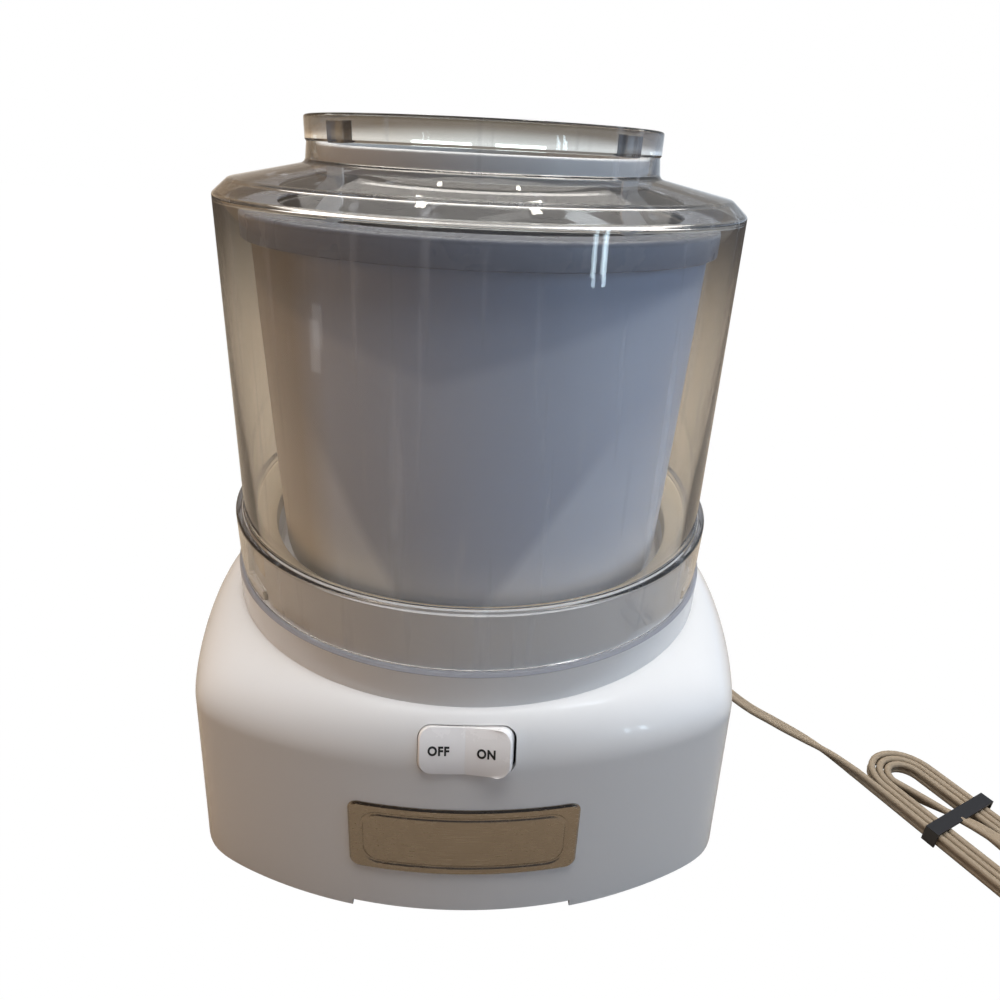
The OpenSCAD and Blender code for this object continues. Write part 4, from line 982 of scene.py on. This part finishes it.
def plate_mesh(rows=72, columns=176):
    front, back = [], []
    for v in crowded(rows, 1) * PLATE.h / 2:
        into = max(0.0, abs(v) - (PLATE.h / 2 - PLATE.corner))
        reach = PLATE.w / 2 - PLATE.corner + math.sqrt(max(0.0, PLATE.corner ** 2 - into ** 2))
        for x in crowded(columns, 0.86) * reach:
            z = PLATE.z + v
            front.append(wall_point(x, z, plate_height(x, z)))
            back.append(wall_point(x, z, 0.1))
    faces = grid_faces(rows, columns, False, False)
    n = rows * columns
    faces += [tuple(n + i for i in face[::-1]) for face in faces]
    edge = (list(range(columns)) + [r * columns + columns - 1 for r in range(1, rows)]
            + list(range(n - 2, n - columns - 1, -1)) + [r * columns for r in range(rows - 2, 0, -1)])
    return front + back, faces + [(a, n + a, n + b, b) for a, b in zip(edge, edge[1:] + edge[:1])]


plate = new_piece("plate_skin", *plate_mesh(), plate_metal, sharp=45)
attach(plate, "base")
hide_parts("name_plate")
print("plate:", len(plate.data.polygons), "faces")

# %% [markdown]
# ## Repeats
# Lugs, keys and slots are one shape said several times. A small Geometry Nodes group says it: it
# puts copies of its input along a line, each turned a little further about Z, makes them real and
# gives them their finish. The result is turned into a plain mesh, so that it can be joined or cut
# like any other.

# %% Geometry Nodes: copies in a row or round an axis
def repeat_group():
    tree = bpy.data.node_groups.new("copies", "GeometryNodeTree")
    for name, kind in (("Geometry", "Geometry"), ("Count", "Int"), ("Step", "Vector"),
                       ("Turn", "Float"), ("Finish", "Material")):
        tree.interface.new_socket(name, in_out="INPUT", socket_type="NodeSocket" + kind)
    tree.interface.new_socket("Geometry", in_out="OUTPUT", socket_type="NodeSocketGeometry")
    group, line, index, times, turn, copies, real, finish, result = (
        tree.nodes.new(kind) for kind in (
            "NodeGroupInput", "GeometryNodeMeshLine", "GeometryNodeInputIndex", "ShaderNodeMath",
            "ShaderNodeCombineXYZ", "GeometryNodeInstanceOnPoints", "GeometryNodeRealizeInstances",
            "GeometryNodeSetMaterial", "NodeGroupOutput"))
    line.mode = "OFFSET"
    times.operation = "MULTIPLY"
    for node, out, to, into in (
            (group, "Count", line, "Count"), (group, "Step", line, "Offset"),
            (index, "Index", times, 0), (group, "Turn", times, 1), (times, 0, turn, "Z"),
            (line, "Mesh", copies, "Points"), (group, "Geometry", copies, "Instance"),
            (turn, 0, copies, "Rotation"), (copies, 0, real, 0), (real, 0, finish, "Geometry"),
            (group, "Finish", finish, "Material"), (finish, 0, result, 0)):
        tree.links.new(node.outputs[out], to.inputs[into])
    return tree


COPIES = repeat_group()


def repeated(piece, count, finish, step=(0, 0, 0), turn=0.0):
    """The piece, count times, each moved by step and turned by turn degrees from the last."""
    modifier = piece.modifiers.new("copies", "NODES")
    modifier.node_group = COPIES
    values = {"Count": count, "Step": step, "Turn": math.radians(turn), "Finish": finish}
    for item in COPIES.interface.items_tree:
        if item.in_out == "INPUT" and item.name in values:
            modifier[item.identifier] = values[item.name]
    mesh = made_real(piece)
    piece.modifiers.clear()
    piece.data = mesh
    return piece


print("the group's nodes:", len(COPIES.nodes))

# %% [markdown]
# ## The clear lid
# The lid is one thin wall turned about the axis: a skirt that hides the joint, a step, a tall
# slightly tapered wall, a sloped crown and a mouth with a rounded lip. Its corners are softened
# so that they catch light. The outline goes up the outside and comes back down the inside.

# %% Lid: the turned wall
LID = Sizes(step_r=105.8, step_z=135.15, skirt_z=110.2, skirt_t=2.4, low_r=102.3, top_r=101.0,
            shoulder_z=259.5, crown_r=95.1, crown_z=264.6, mouth_r=67.3, mouth_z=271.0, t=2.2,
            top=286.0, lip_h=8.5, ledge=133.35)
mouth_in, skirt_in = LID.mouth_r - LID.t, LID.step_r - LID.skirt_t


def lid_corners():
    m, lip = LID, LID.top - LID.lip_h
    outside = [
        (m.step_r - 0.3, m.skirt_z, 0.5), (m.step_r, m.step_z, 1.1), (m.low_r, m.step_z, 1.3),
        (m.top_r, m.shoulder_z, 1.6), (m.crown_r, m.crown_z, 3.0),
        (m.mouth_r + 0.4, m.mouth_z - 0.6, 2.4), (m.mouth_r - 0.5, lip, 0.5),
        (m.mouth_r, lip + 0.6, 0.5), (m.mouth_r, m.top, 2.5)]
    inside = [
        (mouth_in, m.top, 0.8), (mouth_in - 0.2, m.mouth_z - 0.6, 1.2),
        (m.crown_r - 1.2, m.crown_z - m.t, 3.0), (m.top_r - m.t - 0.2, m.shoulder_z - 1.6, 2.0),
        (m.low_r - m.t, m.step_z, 0), (m.low_r - m.t, m.ledge, 0.5), (skirt_in, m.ledge, 0.5),
        (skirt_in - 0.2, m.skirt_z, 0.4)]
    return outside + inside


lid = turned("lid_skin", metres(lid_corners(), 6), clear, 288, 25)
print("lid wall:", len(lid.data.polygons), "faces")

# %% [markdown]
# ## Lugs and keys
# Three lugs inside the skirt lock the lid, and two keys in the mouth hold the arm's ring still.
# They are joined on, because separate clear pieces would show walls between them that the real
# lid doesn't have.

# %% Lid: lugs and keys
KEY = Sizes(count=2, first=221.5, apart=97.0, wide=8.0, deep=3.6, low=277.0, high=283.6)
lug = ring_sector("lug", BASE.collar - LUG.deep + 0.3, skirt_in + 0.4, LUG.low, LUG.low + LUG.high,
                  LUG.first - LUG.wide / 2, LUG.wide)
cut(lid, repeated(lug, LUG.count, clear, turn=360 / LUG.count), "UNION")
key = ring_sector("key", mouth_in - KEY.deep, mouth_in + 0.6, KEY.low, KEY.high,
                  KEY.first - KEY.wide / 2, KEY.wide, 6)
cut(lid, repeated(key, KEY.count, clear, turn=KEY.apart), "UNION")
tidy_mesh(lid, 25)
give_finish(lid, clear)
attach(lid, "lid")
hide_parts("lid")
print("lid:", len(lid.data.polygons), "faces")

# %% [markdown]
# ## The freezer bowl's shell
# The bowl is two skins with coolant between them and a rim that covers the joint. All are turned.
# An outline that ends on the axis stops a hair before it, so that no faces fold up there. The
# shell's floor has a socket for the driver: a round boss and one bar across it, grown by their
# clearance. The driver itself is a cross of two bars, and the second one isn't cut here.

# %% Bowl: shell
BOWL = Sizes(low_r=87.3, top_r=89.1, floor=113.3, top=251.0, t=2.2, corner=7.0, rim_r=92.7,
             rim_top=254.4, rim_h=9.0, taper_from=136, taper_h=104, liner_floor=128.0, liner_r=76.6,
             liner_more=2.0, liner_h=126.4, liner_t=1.2, liner_corner=8.0)
DOG = Sizes(r=12.0, w=8.0, long=31.0, top=119.9, gap=0.4, wall=2.0)
AXIS_R = 0.02


def bowl_r(z):
    return BOWL.low_r + (BOWL.top_r - BOWL.low_r) * (z - BOWL.taper_from) / BOWL.taper_h


def dog_shape(name, grow, low, high):
    boss = prism(name, circle(DOG.r + grow, 64), low, high)
    wings = rectangle(DOG.long + 2 * grow, DOG.w + 2 * grow)
    cut(boss, prism("wings", wings, low, high), "UNION")
    return boss


def shell_corners():
    b = BOWL
    foot_r, head_r = bowl_r(b.floor), bowl_r(b.top)
    return [(AXIS_R, b.floor, 0), (foot_r, b.floor, b.corner), (head_r, b.top, 0.4),
            (head_r - b.t, b.top, 0.4), (foot_r - b.t, b.floor + b.t, b.corner - b.t),
            (AXIS_R, b.floor + b.t, 0)]


shell = turned("bowl_shell_skin", metres(shell_corners(), 10), bowl_grey, 256)
cut(shell, dog_shape("socket_wall", DOG.gap + DOG.wall, BOWL.floor + 0.5, DOG.top + 2.8), "UNION")
cut(shell, dog_shape("socket", DOG.gap, BOWL.floor - 1, DOG.top + 0.8))
tidy_mesh(shell)
print("shell:", len(shell.data.polygons), "faces")

# %% [markdown]
# ## The bowl's liner and rim
# The liner is thin aluminium with a flange that lies on the shell's edge. The rim is a ring with a
# skirt, snapped over both. They are drawn from the same heights, so that they meet.

# %% Bowl: liner and rim
flange = BOWL.top + 0.1
flange_r = bowl_r(BOWL.top) - 0.4


def liner_r(z):
    return BOWL.liner_r + BOWL.liner_more * (z - BOWL.liner_floor) / BOWL.liner_h


def liner_corners():
    b, low_r, high_r = BOWL, liner_r(BOWL.liner_floor), liner_r(flange)
    return [(AXIS_R, b.liner_floor, 0), (low_r, b.liner_floor, b.liner_corner),
            (high_r, flange + b.liner_t, 1.0), (flange_r, flange + b.liner_t, 0.3),
            (flange_r, flange, 0.3), (high_r + b.liner_t, flange, 1.0),
            (low_r + b.liner_t, b.liner_floor - b.liner_t, b.liner_corner),
            (AXIS_R, b.liner_floor - b.liner_t, 0)]


def rim_corners():
    b, rim_in, skirt_r = BOWL, liner_r(BOWL.rim_top) + 0.2, bowl_r(BOWL.top) + 0.1
    cap_low, rim_low = flange + b.liner_t + 1.0, b.rim_top - b.rim_h
    return [(rim_in, cap_low, 0.2), (rim_in, b.rim_top, 0.7), (b.rim_r, b.rim_top, 1.6),
            (b.rim_r, rim_low, 0.5), (skirt_r, rim_low, 0.2), (skirt_r, cap_low, 0.2)]


liner = turned("bowl_liner_skin", metres(liner_corners(), 10), liner_metal, 224)
rim = turned("bowl_rim_skin", metres(rim_corners(), 6), rim_grey, 256)
for piece, node, slot in ((shell, "bowl_shell", "bowl_plastic"),
                          (liner, "bowl_liner", "liner_aluminium"),
                          (rim, "bowl_rim", "bowl_plastic")):
    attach(piece, "bowl")
    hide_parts(node)
print("bowl:", sum(len(p.data.polygons) for p in (shell, liner, rim)), "faces")

# %% [markdown]
# ## The mixing arm's frame
# The arm is a flat frame that stands in the bowl and hangs from a ring at the lid's mouth, with
# one finger in the middle and a round foot that ends just above the bowl's floor. Half of the
# frame's outline is drawn and mirrored, filled and made 4 mm thick, and its window is cut out.

# %% Mixing arm: frame
ARM = Sizes(ring_r=63.6, wall=3.2, top=276.0, low=268.0, half_w=75.2, t=4.0, foot=128.3, foot_r=7,
            foot_h=12, base=131.3, band=8.0, finger=46.0, finger_r=5, waist=238.4, neck=255.4)


def mirrored(side):
    return side + [(-x, z) for x, z in side[::-1]]


post, half_t = ARM.ring_r - 2, ARM.t / 2
standing = FROM_MM @ UPRIGHT
frame_out = mirrored([(64.6, ARM.base), (ARM.half_w, ARM.base + 13), (ARM.half_w, ARM.waist),
                      (post, ARM.neck), (post, ARM.low + 1)])
window_w = ARM.half_w - ARM.band
frame_in = mirrored([(58.6, ARM.base + 12), (window_w, ARM.base + 26), (window_w, ARM.waist - 4),
                     (post - 6, ARM.neck - 4), (post - 6, ARM.low + 20)])
out_corners, in_corners = [4, 8, 8, 6, 0], [6, 6, 6, 6, 0]
frame_out = rounded(frame_out, out_corners + out_corners[::-1], 6)
frame_in = rounded(frame_in, in_corners + in_corners[::-1], 6)
arm = prism("arm_skin", frame_out, -half_t, half_t, standing)
cut(arm, prism("window", frame_in, -9, 9, standing))
print("arm frame:", len(arm.data.polygons), "faces")

# %% [markdown]
# ## Finger, foot and ring
# The finger ends in a half circle, the foot is a short round post, and the ring is turned. Each is
# joined to the frame, and a small bevel goes over the whole arm at the end.

# %% Mixing arm: finger, foot and ring
finger_top = ARM.base + ARM.finger
finger = [(-ARM.finger_r, ARM.base + 1), (ARM.finger_r, ARM.base + 1)]
finger += [(ARM.finger_r * math.cos(t), finger_top + ARM.finger_r * math.sin(t))
           for t in np.linspace(0, math.pi, 16)]
ring_in = ARM.ring_r - ARM.wall
ring_corners = [(ring_in, ARM.low, 0.8), (ARM.ring_r, ARM.low, 0.8), (ARM.ring_r, ARM.top, 0.8),
                (ring_in, ARM.top, 0.8)]
cut(arm, prism("finger", finger, -half_t, half_t, standing), "UNION")
cut(arm, prism("foot", circle(ARM.foot_r, 40), ARM.foot, ARM.foot + ARM.foot_h), "UNION")
cut(arm, turned("arm_ring", metres(ring_corners, 4), None, 192), "UNION")
tidy_mesh(arm)
give_finish(arm, arm_white)
soften(arm, 0.5, 2, 50)
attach(arm, "arm")
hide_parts("mixing_arm")
print("arm:", len(arm.data.polygons), "faces")

# %% [markdown]
# ## The oval of turns
# The wound part is three turns in a flat oval, where the lead stands on its edge and each turn
# lies inside the last. The oval has a frame of its own, along, across and up, set down beside the
# base at an angle. Its radius shrinks a little with every half turn and also along each bend, so
# the turns never touch.

# %% Lead: the oval
HANK = Sizes(x=210.5, y=-31.7, angle=-63, long=118, wide=41, high=7, turns=3, step=3.65)
ON_EDGE = 3.35


def in_hank(x, y, z):
    """A point along, across and up in the oval's own frame, in mm, as a point of the scene."""
    turn = math.radians(HANK.angle)
    return Vector((HANK.x + x * math.cos(turn) - y * math.sin(turn),
                   HANK.y + x * math.sin(turn) + y * math.cos(turn), z)) * MM


def oval_points(straight_points=10, bend_points=14):
    points = []
    start, stop = HANK.wide / 2, HANK.long - HANK.wide / 2
    for half_turn in range(HANK.turns * 2):
        r = HANK.wide / 2 - 1.9 - HANK.step / 2 * half_turn
        both = [(start + (stop - start) * k / (straight_points - 1), -r)
                for k in range(straight_points)]
        for t in [k / bend_points for k in range(1, bend_points)]:
            both.append((stop + (r - HANK.step / 4 * t) * math.sin(math.pi * t),
                         -(r - HANK.step / 2 * t) * math.cos(math.pi * t)))
        far = half_turn % 2 == 0
        points += both if far else [(HANK.long - x, -y) for x, y in both]
    return points


oval = [in_hank(x, y, ON_EDGE) for x, y in oval_points()]
print("lead in the oval:", round(length_of(oval), 3), "m")

# %% [markdown]
# ## Laying the lead
# From the table the lead runs into the oval, and its inner end rises in the hollow, turns flat
# again and goes into the plug. All this is one list of points with one list of directions that
# say which way the flat side faces, so the section sweeps along it without a break and the length
# can be summed. The turn from flat to edge is spread over many points, so that it doesn't crease.

# %% Lead: the whole line
TWIST, UNTWIST = 16, 6
WAY_IN = [(7, -18.6), (13, -18.6)]
WAY_OUT = [(26, -5.4, 3.4), (33, -3.2, 3.6), (40, -1.6, 4.4), (47, -0.6, 5.6), (54, 0, 7.2),
           (60, 0, 8.4), (64, 0, 8.7)]
line = route[:-1] + [in_hank(x, y, CORD_LIES) for x, y in WAY_IN]
first_on_edge = len(line)
line += oval
inner_end = len(line)
line += [in_hank(*p) for p in WAY_OUT]


def clamped(t):
    return min(1.0, max(0.0, t))


def twisted(i):
    """How far the lead has turned on its edge on its way into the oval, at the point i."""
    return clamped((i - first_on_edge + TWIST) / TWIST)


def facing(i):
    """The flat side's direction: up while the lead lies flat, sideways while it stands on edge."""
    level = heading(line, i).cross(Vector((0, 0, 1))).normalized()
    tilt = eased(twisted(i) * clamped((inner_end + UNTWIST - 1 - i) / UNTWIST)) * math.pi / 2
    return Vector((0, 0, 1)) * math.cos(tilt) - level * math.sin(tilt)


ups = [facing(i) for i in range(len(line))]
for i in range(first_on_edge - TWIST, first_on_edge):
    line[i].z = (CORD_LIES + (ON_EDGE - CORD_LIES) * eased(twisted(i))) * MM
lead = sweep("lead_skin", line, TWIN, cord_skin, ups)
print("lead:", round(length_of(line), 3), "m in", len(line), "points")

# %% [markdown]
# ## The plug
# The plug is moulded on: its neck grows out of the lead into a grip with round corners. It is a
# tube through rounded rectangles, each with its place along the plug, its width and height, how
# far it is lifted, and its corner.

# %% Plug
PLUG_SECTIONS = ((62, 6.4, 3.2, 0, 1.5), (70, 8.4, 4.6, 0, 1.9), (77, 12.2, 7.6, 0, 2.6),
                 (84, 17.2, 11.6, 0, 3.2), (86, 18, 12, 0, 3.4), (97.6, 18, 12, 0, 3.4),
                 (98.6, 17.4, 11.4, 0.3, 3.2), (99, 16, 10, 1, 2.8))
plug_rings = [[in_hank(x, y, HANK.high + lift + high / 2 + z)
               for y, z in rounded_rectangle(wide, high, corner, 6)]
              for x, wide, high, lift, corner in PLUG_SECTIONS]
plug = new_piece("plug_skin", *tube(plug_rings), cord_skin, sharp=35)
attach(plug, "base")
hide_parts("plug_body")
print("plug:", len(plug.data.polygons), "faces")

# %% [markdown]
# ## The strain relief
# The strain relief is a tapered sleeve with a flange that holds it in the wall. It is turned about
# Z at first, and two rows of slots, made by the repeat group, let it bend. Then it is laid along
# its real axis.

# %% Strain relief
at_wall, tip = RELIEF.y, RELIEF.y + RELIEF.long
relief = turned("relief_skin", metres([
    (AXIS_R, at_wall - 7, 0), (RELIEF.r, at_wall - 7, 0.4), (RELIEF.r, at_wall + 1.9, 0),
    (RELIEF.flange, at_wall + 1.9, 0.4), (RELIEF.flange, at_wall + 3.5, 0.5),
    (RELIEF.r - 0.6, at_wall + 3.5, 0.4), (RELIEF.tip, tip, 0.5), (AXIS_R, tip, 0)], 4), cord_skin, 64)
for start in (20, 200):
    slot = ring_sector("relief_slot", 4.2, 8, at_wall + 7, at_wall + 8.2, start, 140, 14)
    cut(relief, repeated(slot, 5, cord_skin, step=(0, 0, 3.6 * MM)))
relief.data.transform(Matrix.Translation(Vector((RELIEF.x, 0, RELIEF.z)) * MM)
                      @ Matrix.Rotation(-math.pi / 2, 4, "X"))
tidy_mesh(relief, 35)
give_finish(relief, cord_skin)
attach(relief, "base")
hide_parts("strain_relief")
print("strain relief:", len(relief.data.polygons), "faces")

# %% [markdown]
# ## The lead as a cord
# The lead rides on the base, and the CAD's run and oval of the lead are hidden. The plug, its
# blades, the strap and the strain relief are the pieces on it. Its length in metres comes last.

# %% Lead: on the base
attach(lead, "base")
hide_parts("cord_run", "cord_hank")
round(length_of(line), 2)

# %% [markdown]
# ## The table
# The object stands on white, with no horizon. Two floors share the work: the bright one is what
# the camera sees, and a darker one, which the camera doesn't see, is what the plastic mirrors and
# what sends light up under the walls. A Light Path node makes it darker for the light that it
# sends up than for what is mirrored in it.

# %% Floors
FLOOR = 8.0
MIRRORED, SENT_UP = (0.35, 0.29, 0.22), (0.19, 0.165, 0.15)


def plane(name, z, finish):
    piece = new_piece(name, [(x, y, z) for x, y in rectangle(FLOOR, FLOOR)], [(0, 1, 2, 3)], finish)
    return piece


floor_white = Finish("floor_white", (0, 0, 0), 1.0, Emission_Strength=1.0, Emission_Color=(1, 1, 1))
floor_bounce = Finish("floor_bounce", MIRRORED, 0.6)
diffuse_ray = floor_bounce.add("ShaderNodeLightPath", output="Is Diffuse Ray")
floor_bounce.set(Base_Color=floor_bounce.mix(diffuse_ray, MIRRORED, SENT_UP))
seen_floor = plane("white_floor", -0.0006, floor_white.material)
seen_floor.visible_diffuse = seen_floor.visible_glossy = False
seen_floor.visible_shadow = seen_floor.visible_transmission = False
plane("bounce_floor", -0.0004, floor_bounce.material).visible_camera = False
print("floors ready")

# %% [markdown]
# ## The room
# What the plastic mirrors and the lid refracts is a made-up room: dark above, bright in a thin
# band at the horizon, warm on the left, cool on the right and dim in front. Three colour ramps,
# one for each axis, are multiplied. The camera itself sees plain white, by way of Is Camera Ray.

# %% World
ROOM_RAMPS = {
    "Z": ((-0.035, (0.24, 0.21, 0.17)), (0.0, (1.0, 1.04, 1.05)), (0.07, (0.55, 0.55, 0.54)),
          (0.2, (0.27, 0.245, 0.21)), (0.75, (0.22, 0.215, 0.21))),
    "X": ((-0.9, (0.85, 0.6, 0.38)), (-0.45, (0.74, 0.56, 0.4)), (0.0, (1.0, 1.0, 1.0)),
          (0.45, (0.7, 0.75, 0.83)), (0.9, (0.9, 1.04, 1.3))),
    "Y": ((-1.0, (0.22, 0.25, 0.33)), (-0.3, (0.36, 0.38, 0.43)), (0.3, (1.0, 1.0, 1.0))),
}
world = bpy.data.worlds.new("room")
bpy.context.scene.world = world
world.use_nodes = True
room = Nodes(world.node_tree)
toward = room.add("ShaderNodeTexCoord", output="Generated")
colors = []
for axis, stops in ROOM_RAMPS.items():
    along = room.spread(room.add("ShaderNodeSeparateXYZ", {}, [toward], axis), -1, 1)
    ramp_stops = [((at + 1) / 2, color) for at, color in stops]
    colors.append(room.add("ShaderNodeValToRGB", {"stops": ramp_stops}, [along]))
by_height, by_side, by_depth = colors
color = room.mix(1, room.mix(1, by_height, by_side, "MULTIPLY"), by_depth, "MULTIPLY")
lit = room.add("ShaderNodeBackground", {}, {"Color": color})
plain = room.add("ShaderNodeBackground", {}, {"Color": (1, 1, 1)})
camera_ray = room.add("ShaderNodeLightPath", output="Is Camera Ray")
either = room.add("ShaderNodeMixShader", {}, [camera_ray, lit, plain])
room.feed(room.tree.nodes["World Output"].inputs["Surface"], either)
print("room's nodes:", len(room.tree.nodes))

# %% [markdown]
# ## A light
# Every light here is a rectangle that is aimed at a point. The camera never sees it. Whether the
# gloss and the clear lid show it is a choice, made for each light, because the light that shapes
# the object and the lights that are mirrored in it aren't the same ones in a good studio.

# %% Lights: a helper
def area_light(name, at, aim, size, power, color, mirrored=True):
    data = bpy.data.lights.new(name, "AREA")
    data.shape = "RECTANGLE"
    data.size, data.size_y = size
    data.energy = power
    data.color = color
    light = bpy.data.objects.new(name, data)
    light.location = at
    light.rotation_euler = (Vector(aim) - Vector(at)).to_track_quat("-Z", "Y").to_euler()
    light.visible_camera = False
    light.visible_glossy = light.visible_transmission = mirrored
    bpy.context.scene.collection.objects.link(light)
    return light


print("light helper ready")

# %% [markdown]
# ## Soft lights
# Four soft lights do the lighting: a big one overhead makes the shoulder the brightest part, one
# from the front fills the walls, and a warm one on the left and a cool one on the right tint the
# two flanks. They aren't mirrored, because the lid and the gloss would show them as big white
# fields. A fifth, very large one is seen only through the lid, as a pale ceiling would be.

# %% Lights: soft ones
for name, at, aim, size, power, color in (
        ("overhead", (0.13, 0.22, 1.45), (0, 0.05, 0.1), (1.5, 1.3), 28.5, (0.99, 0.98, 0.97)),
        ("front_fill", (0, -0.37, 2.0), (0, 0, 0.2), (1.3, 0.4), 13.8, (0.93, 0.965, 1.0)),
        ("warm_side", (-1.3, -0.25, 0.5), (0, 0, 0.15), (0.9, 0.7), 3.1, (1.0, 0.55, 0.2)),
        ("cool_side", (1.2, -0.55, 0.6), (0, 0, 0.15), (0.5, 0.9), 5, (0.5, 0.72, 1.0))):
    area_light(name, at, aim, size, power, color, mirrored=False)
through_lid = area_light("through_lid", (0.05, 0.1, 1.46), (0.05, 0.1, 0.1), (2.6, 2.4), 50,
                         (1.0, 0.96, 0.92))
through_lid.visible_diffuse = through_lid.visible_glossy = False
print("soft lights:", len(bpy.data.lights))

# %% [markdown]
# ## Mirrored lights
# These are weak, and they are there to be seen as reflections: a ceiling with its strip, a strip
# on the right, downlights, lamps for the crown and the neck, two far windows through the mouth,
# two slits that draw lines down the lid's wall, and a patch low on the left.

# %% Lights: mirrored ones
LAMP, DAYLIGHT, SKY, WHITE = (1.0, 0.97, 0.9), (0.8, 0.95, 1.0), (0.7, 0.88, 1.0), (1, 1, 1)
for name, at, aim, size, power, color in (
        ("mirrored_ceiling", (0.05, -0.15, 1.5), (0, 0, 0.1), (1.5, 0.45), 0.3, WHITE),
        ("ceiling_strip", (0.12, -0.25, 1.45), (0, 0, 0.1), (0.3, 0.08), 0.15, WHITE),
        ("far_strip", (0.62, -0.1, 1.4), (0, 0, 0.1), (0.14, 0.3), 1.0, (0.85, 0.93, 1.0)),
        ("downlight_left", (-0.39, 0.11, 1.81), (0, -0.09, 0.26), (0.07, 0.07), 0.3, LAMP),
        ("downlight_right", (0.34, 0.08, 1.82), (0, -0.09, 0.26), (0.07, 0.07), 0.3, LAMP),
        ("crown_lamp_left", (-0.168, 1.33, 0.985), (-0.02, -0.09, 0.26), (0.05, 0.045), 0.17, LAMP),
        ("crown_lamp_right", (0.158, 1.32, 0.995), (0.02, -0.09, 0.26), (0.05, 0.045), 0.17, LAMP),
        ("neck_lamp_left", (-0.12, 1.38, 0.94), (-0.01, -0.07, 0.27), (0.012, 0.012), 0.01, LAMP),
        ("neck_lamp_right", (0.11, 1.38, 0.95), (0.01, -0.07, 0.27), (0.012, 0.012), 0.01, LAMP),
        ("far_window_left", (-0.126, 2.0, 0.334), (0, 0, 0.28), (0.19, 0.11), 0.2, DAYLIGHT),
        ("far_window_right", (0.124, 2.0, 0.328), (0, 0, 0.28), (0.16, 0.1), 0.16, DAYLIGHT),
        ("window_slit_1", (0.886, -0.809, 0.2285), (0, 0, 0.2), (0.035, 0.143), 0.2, SKY),
        ("window_slit_2", (0.823, -0.873, 0.2285), (0, 0, 0.2), (0.03, 0.143), 0.13, SKY),
        ("left_patch", (-0.54, -0.25, 0.13), (-0.09, -0.03, 0.15), (0.05, 0.05), 0.008,
         (0.95, 0.97, 1.0))):
    area_light(name, at, aim, size, power, color)
bpy.context.scene.view_settings.view_transform = "Standard"
print("all lights:", len(bpy.data.lights))
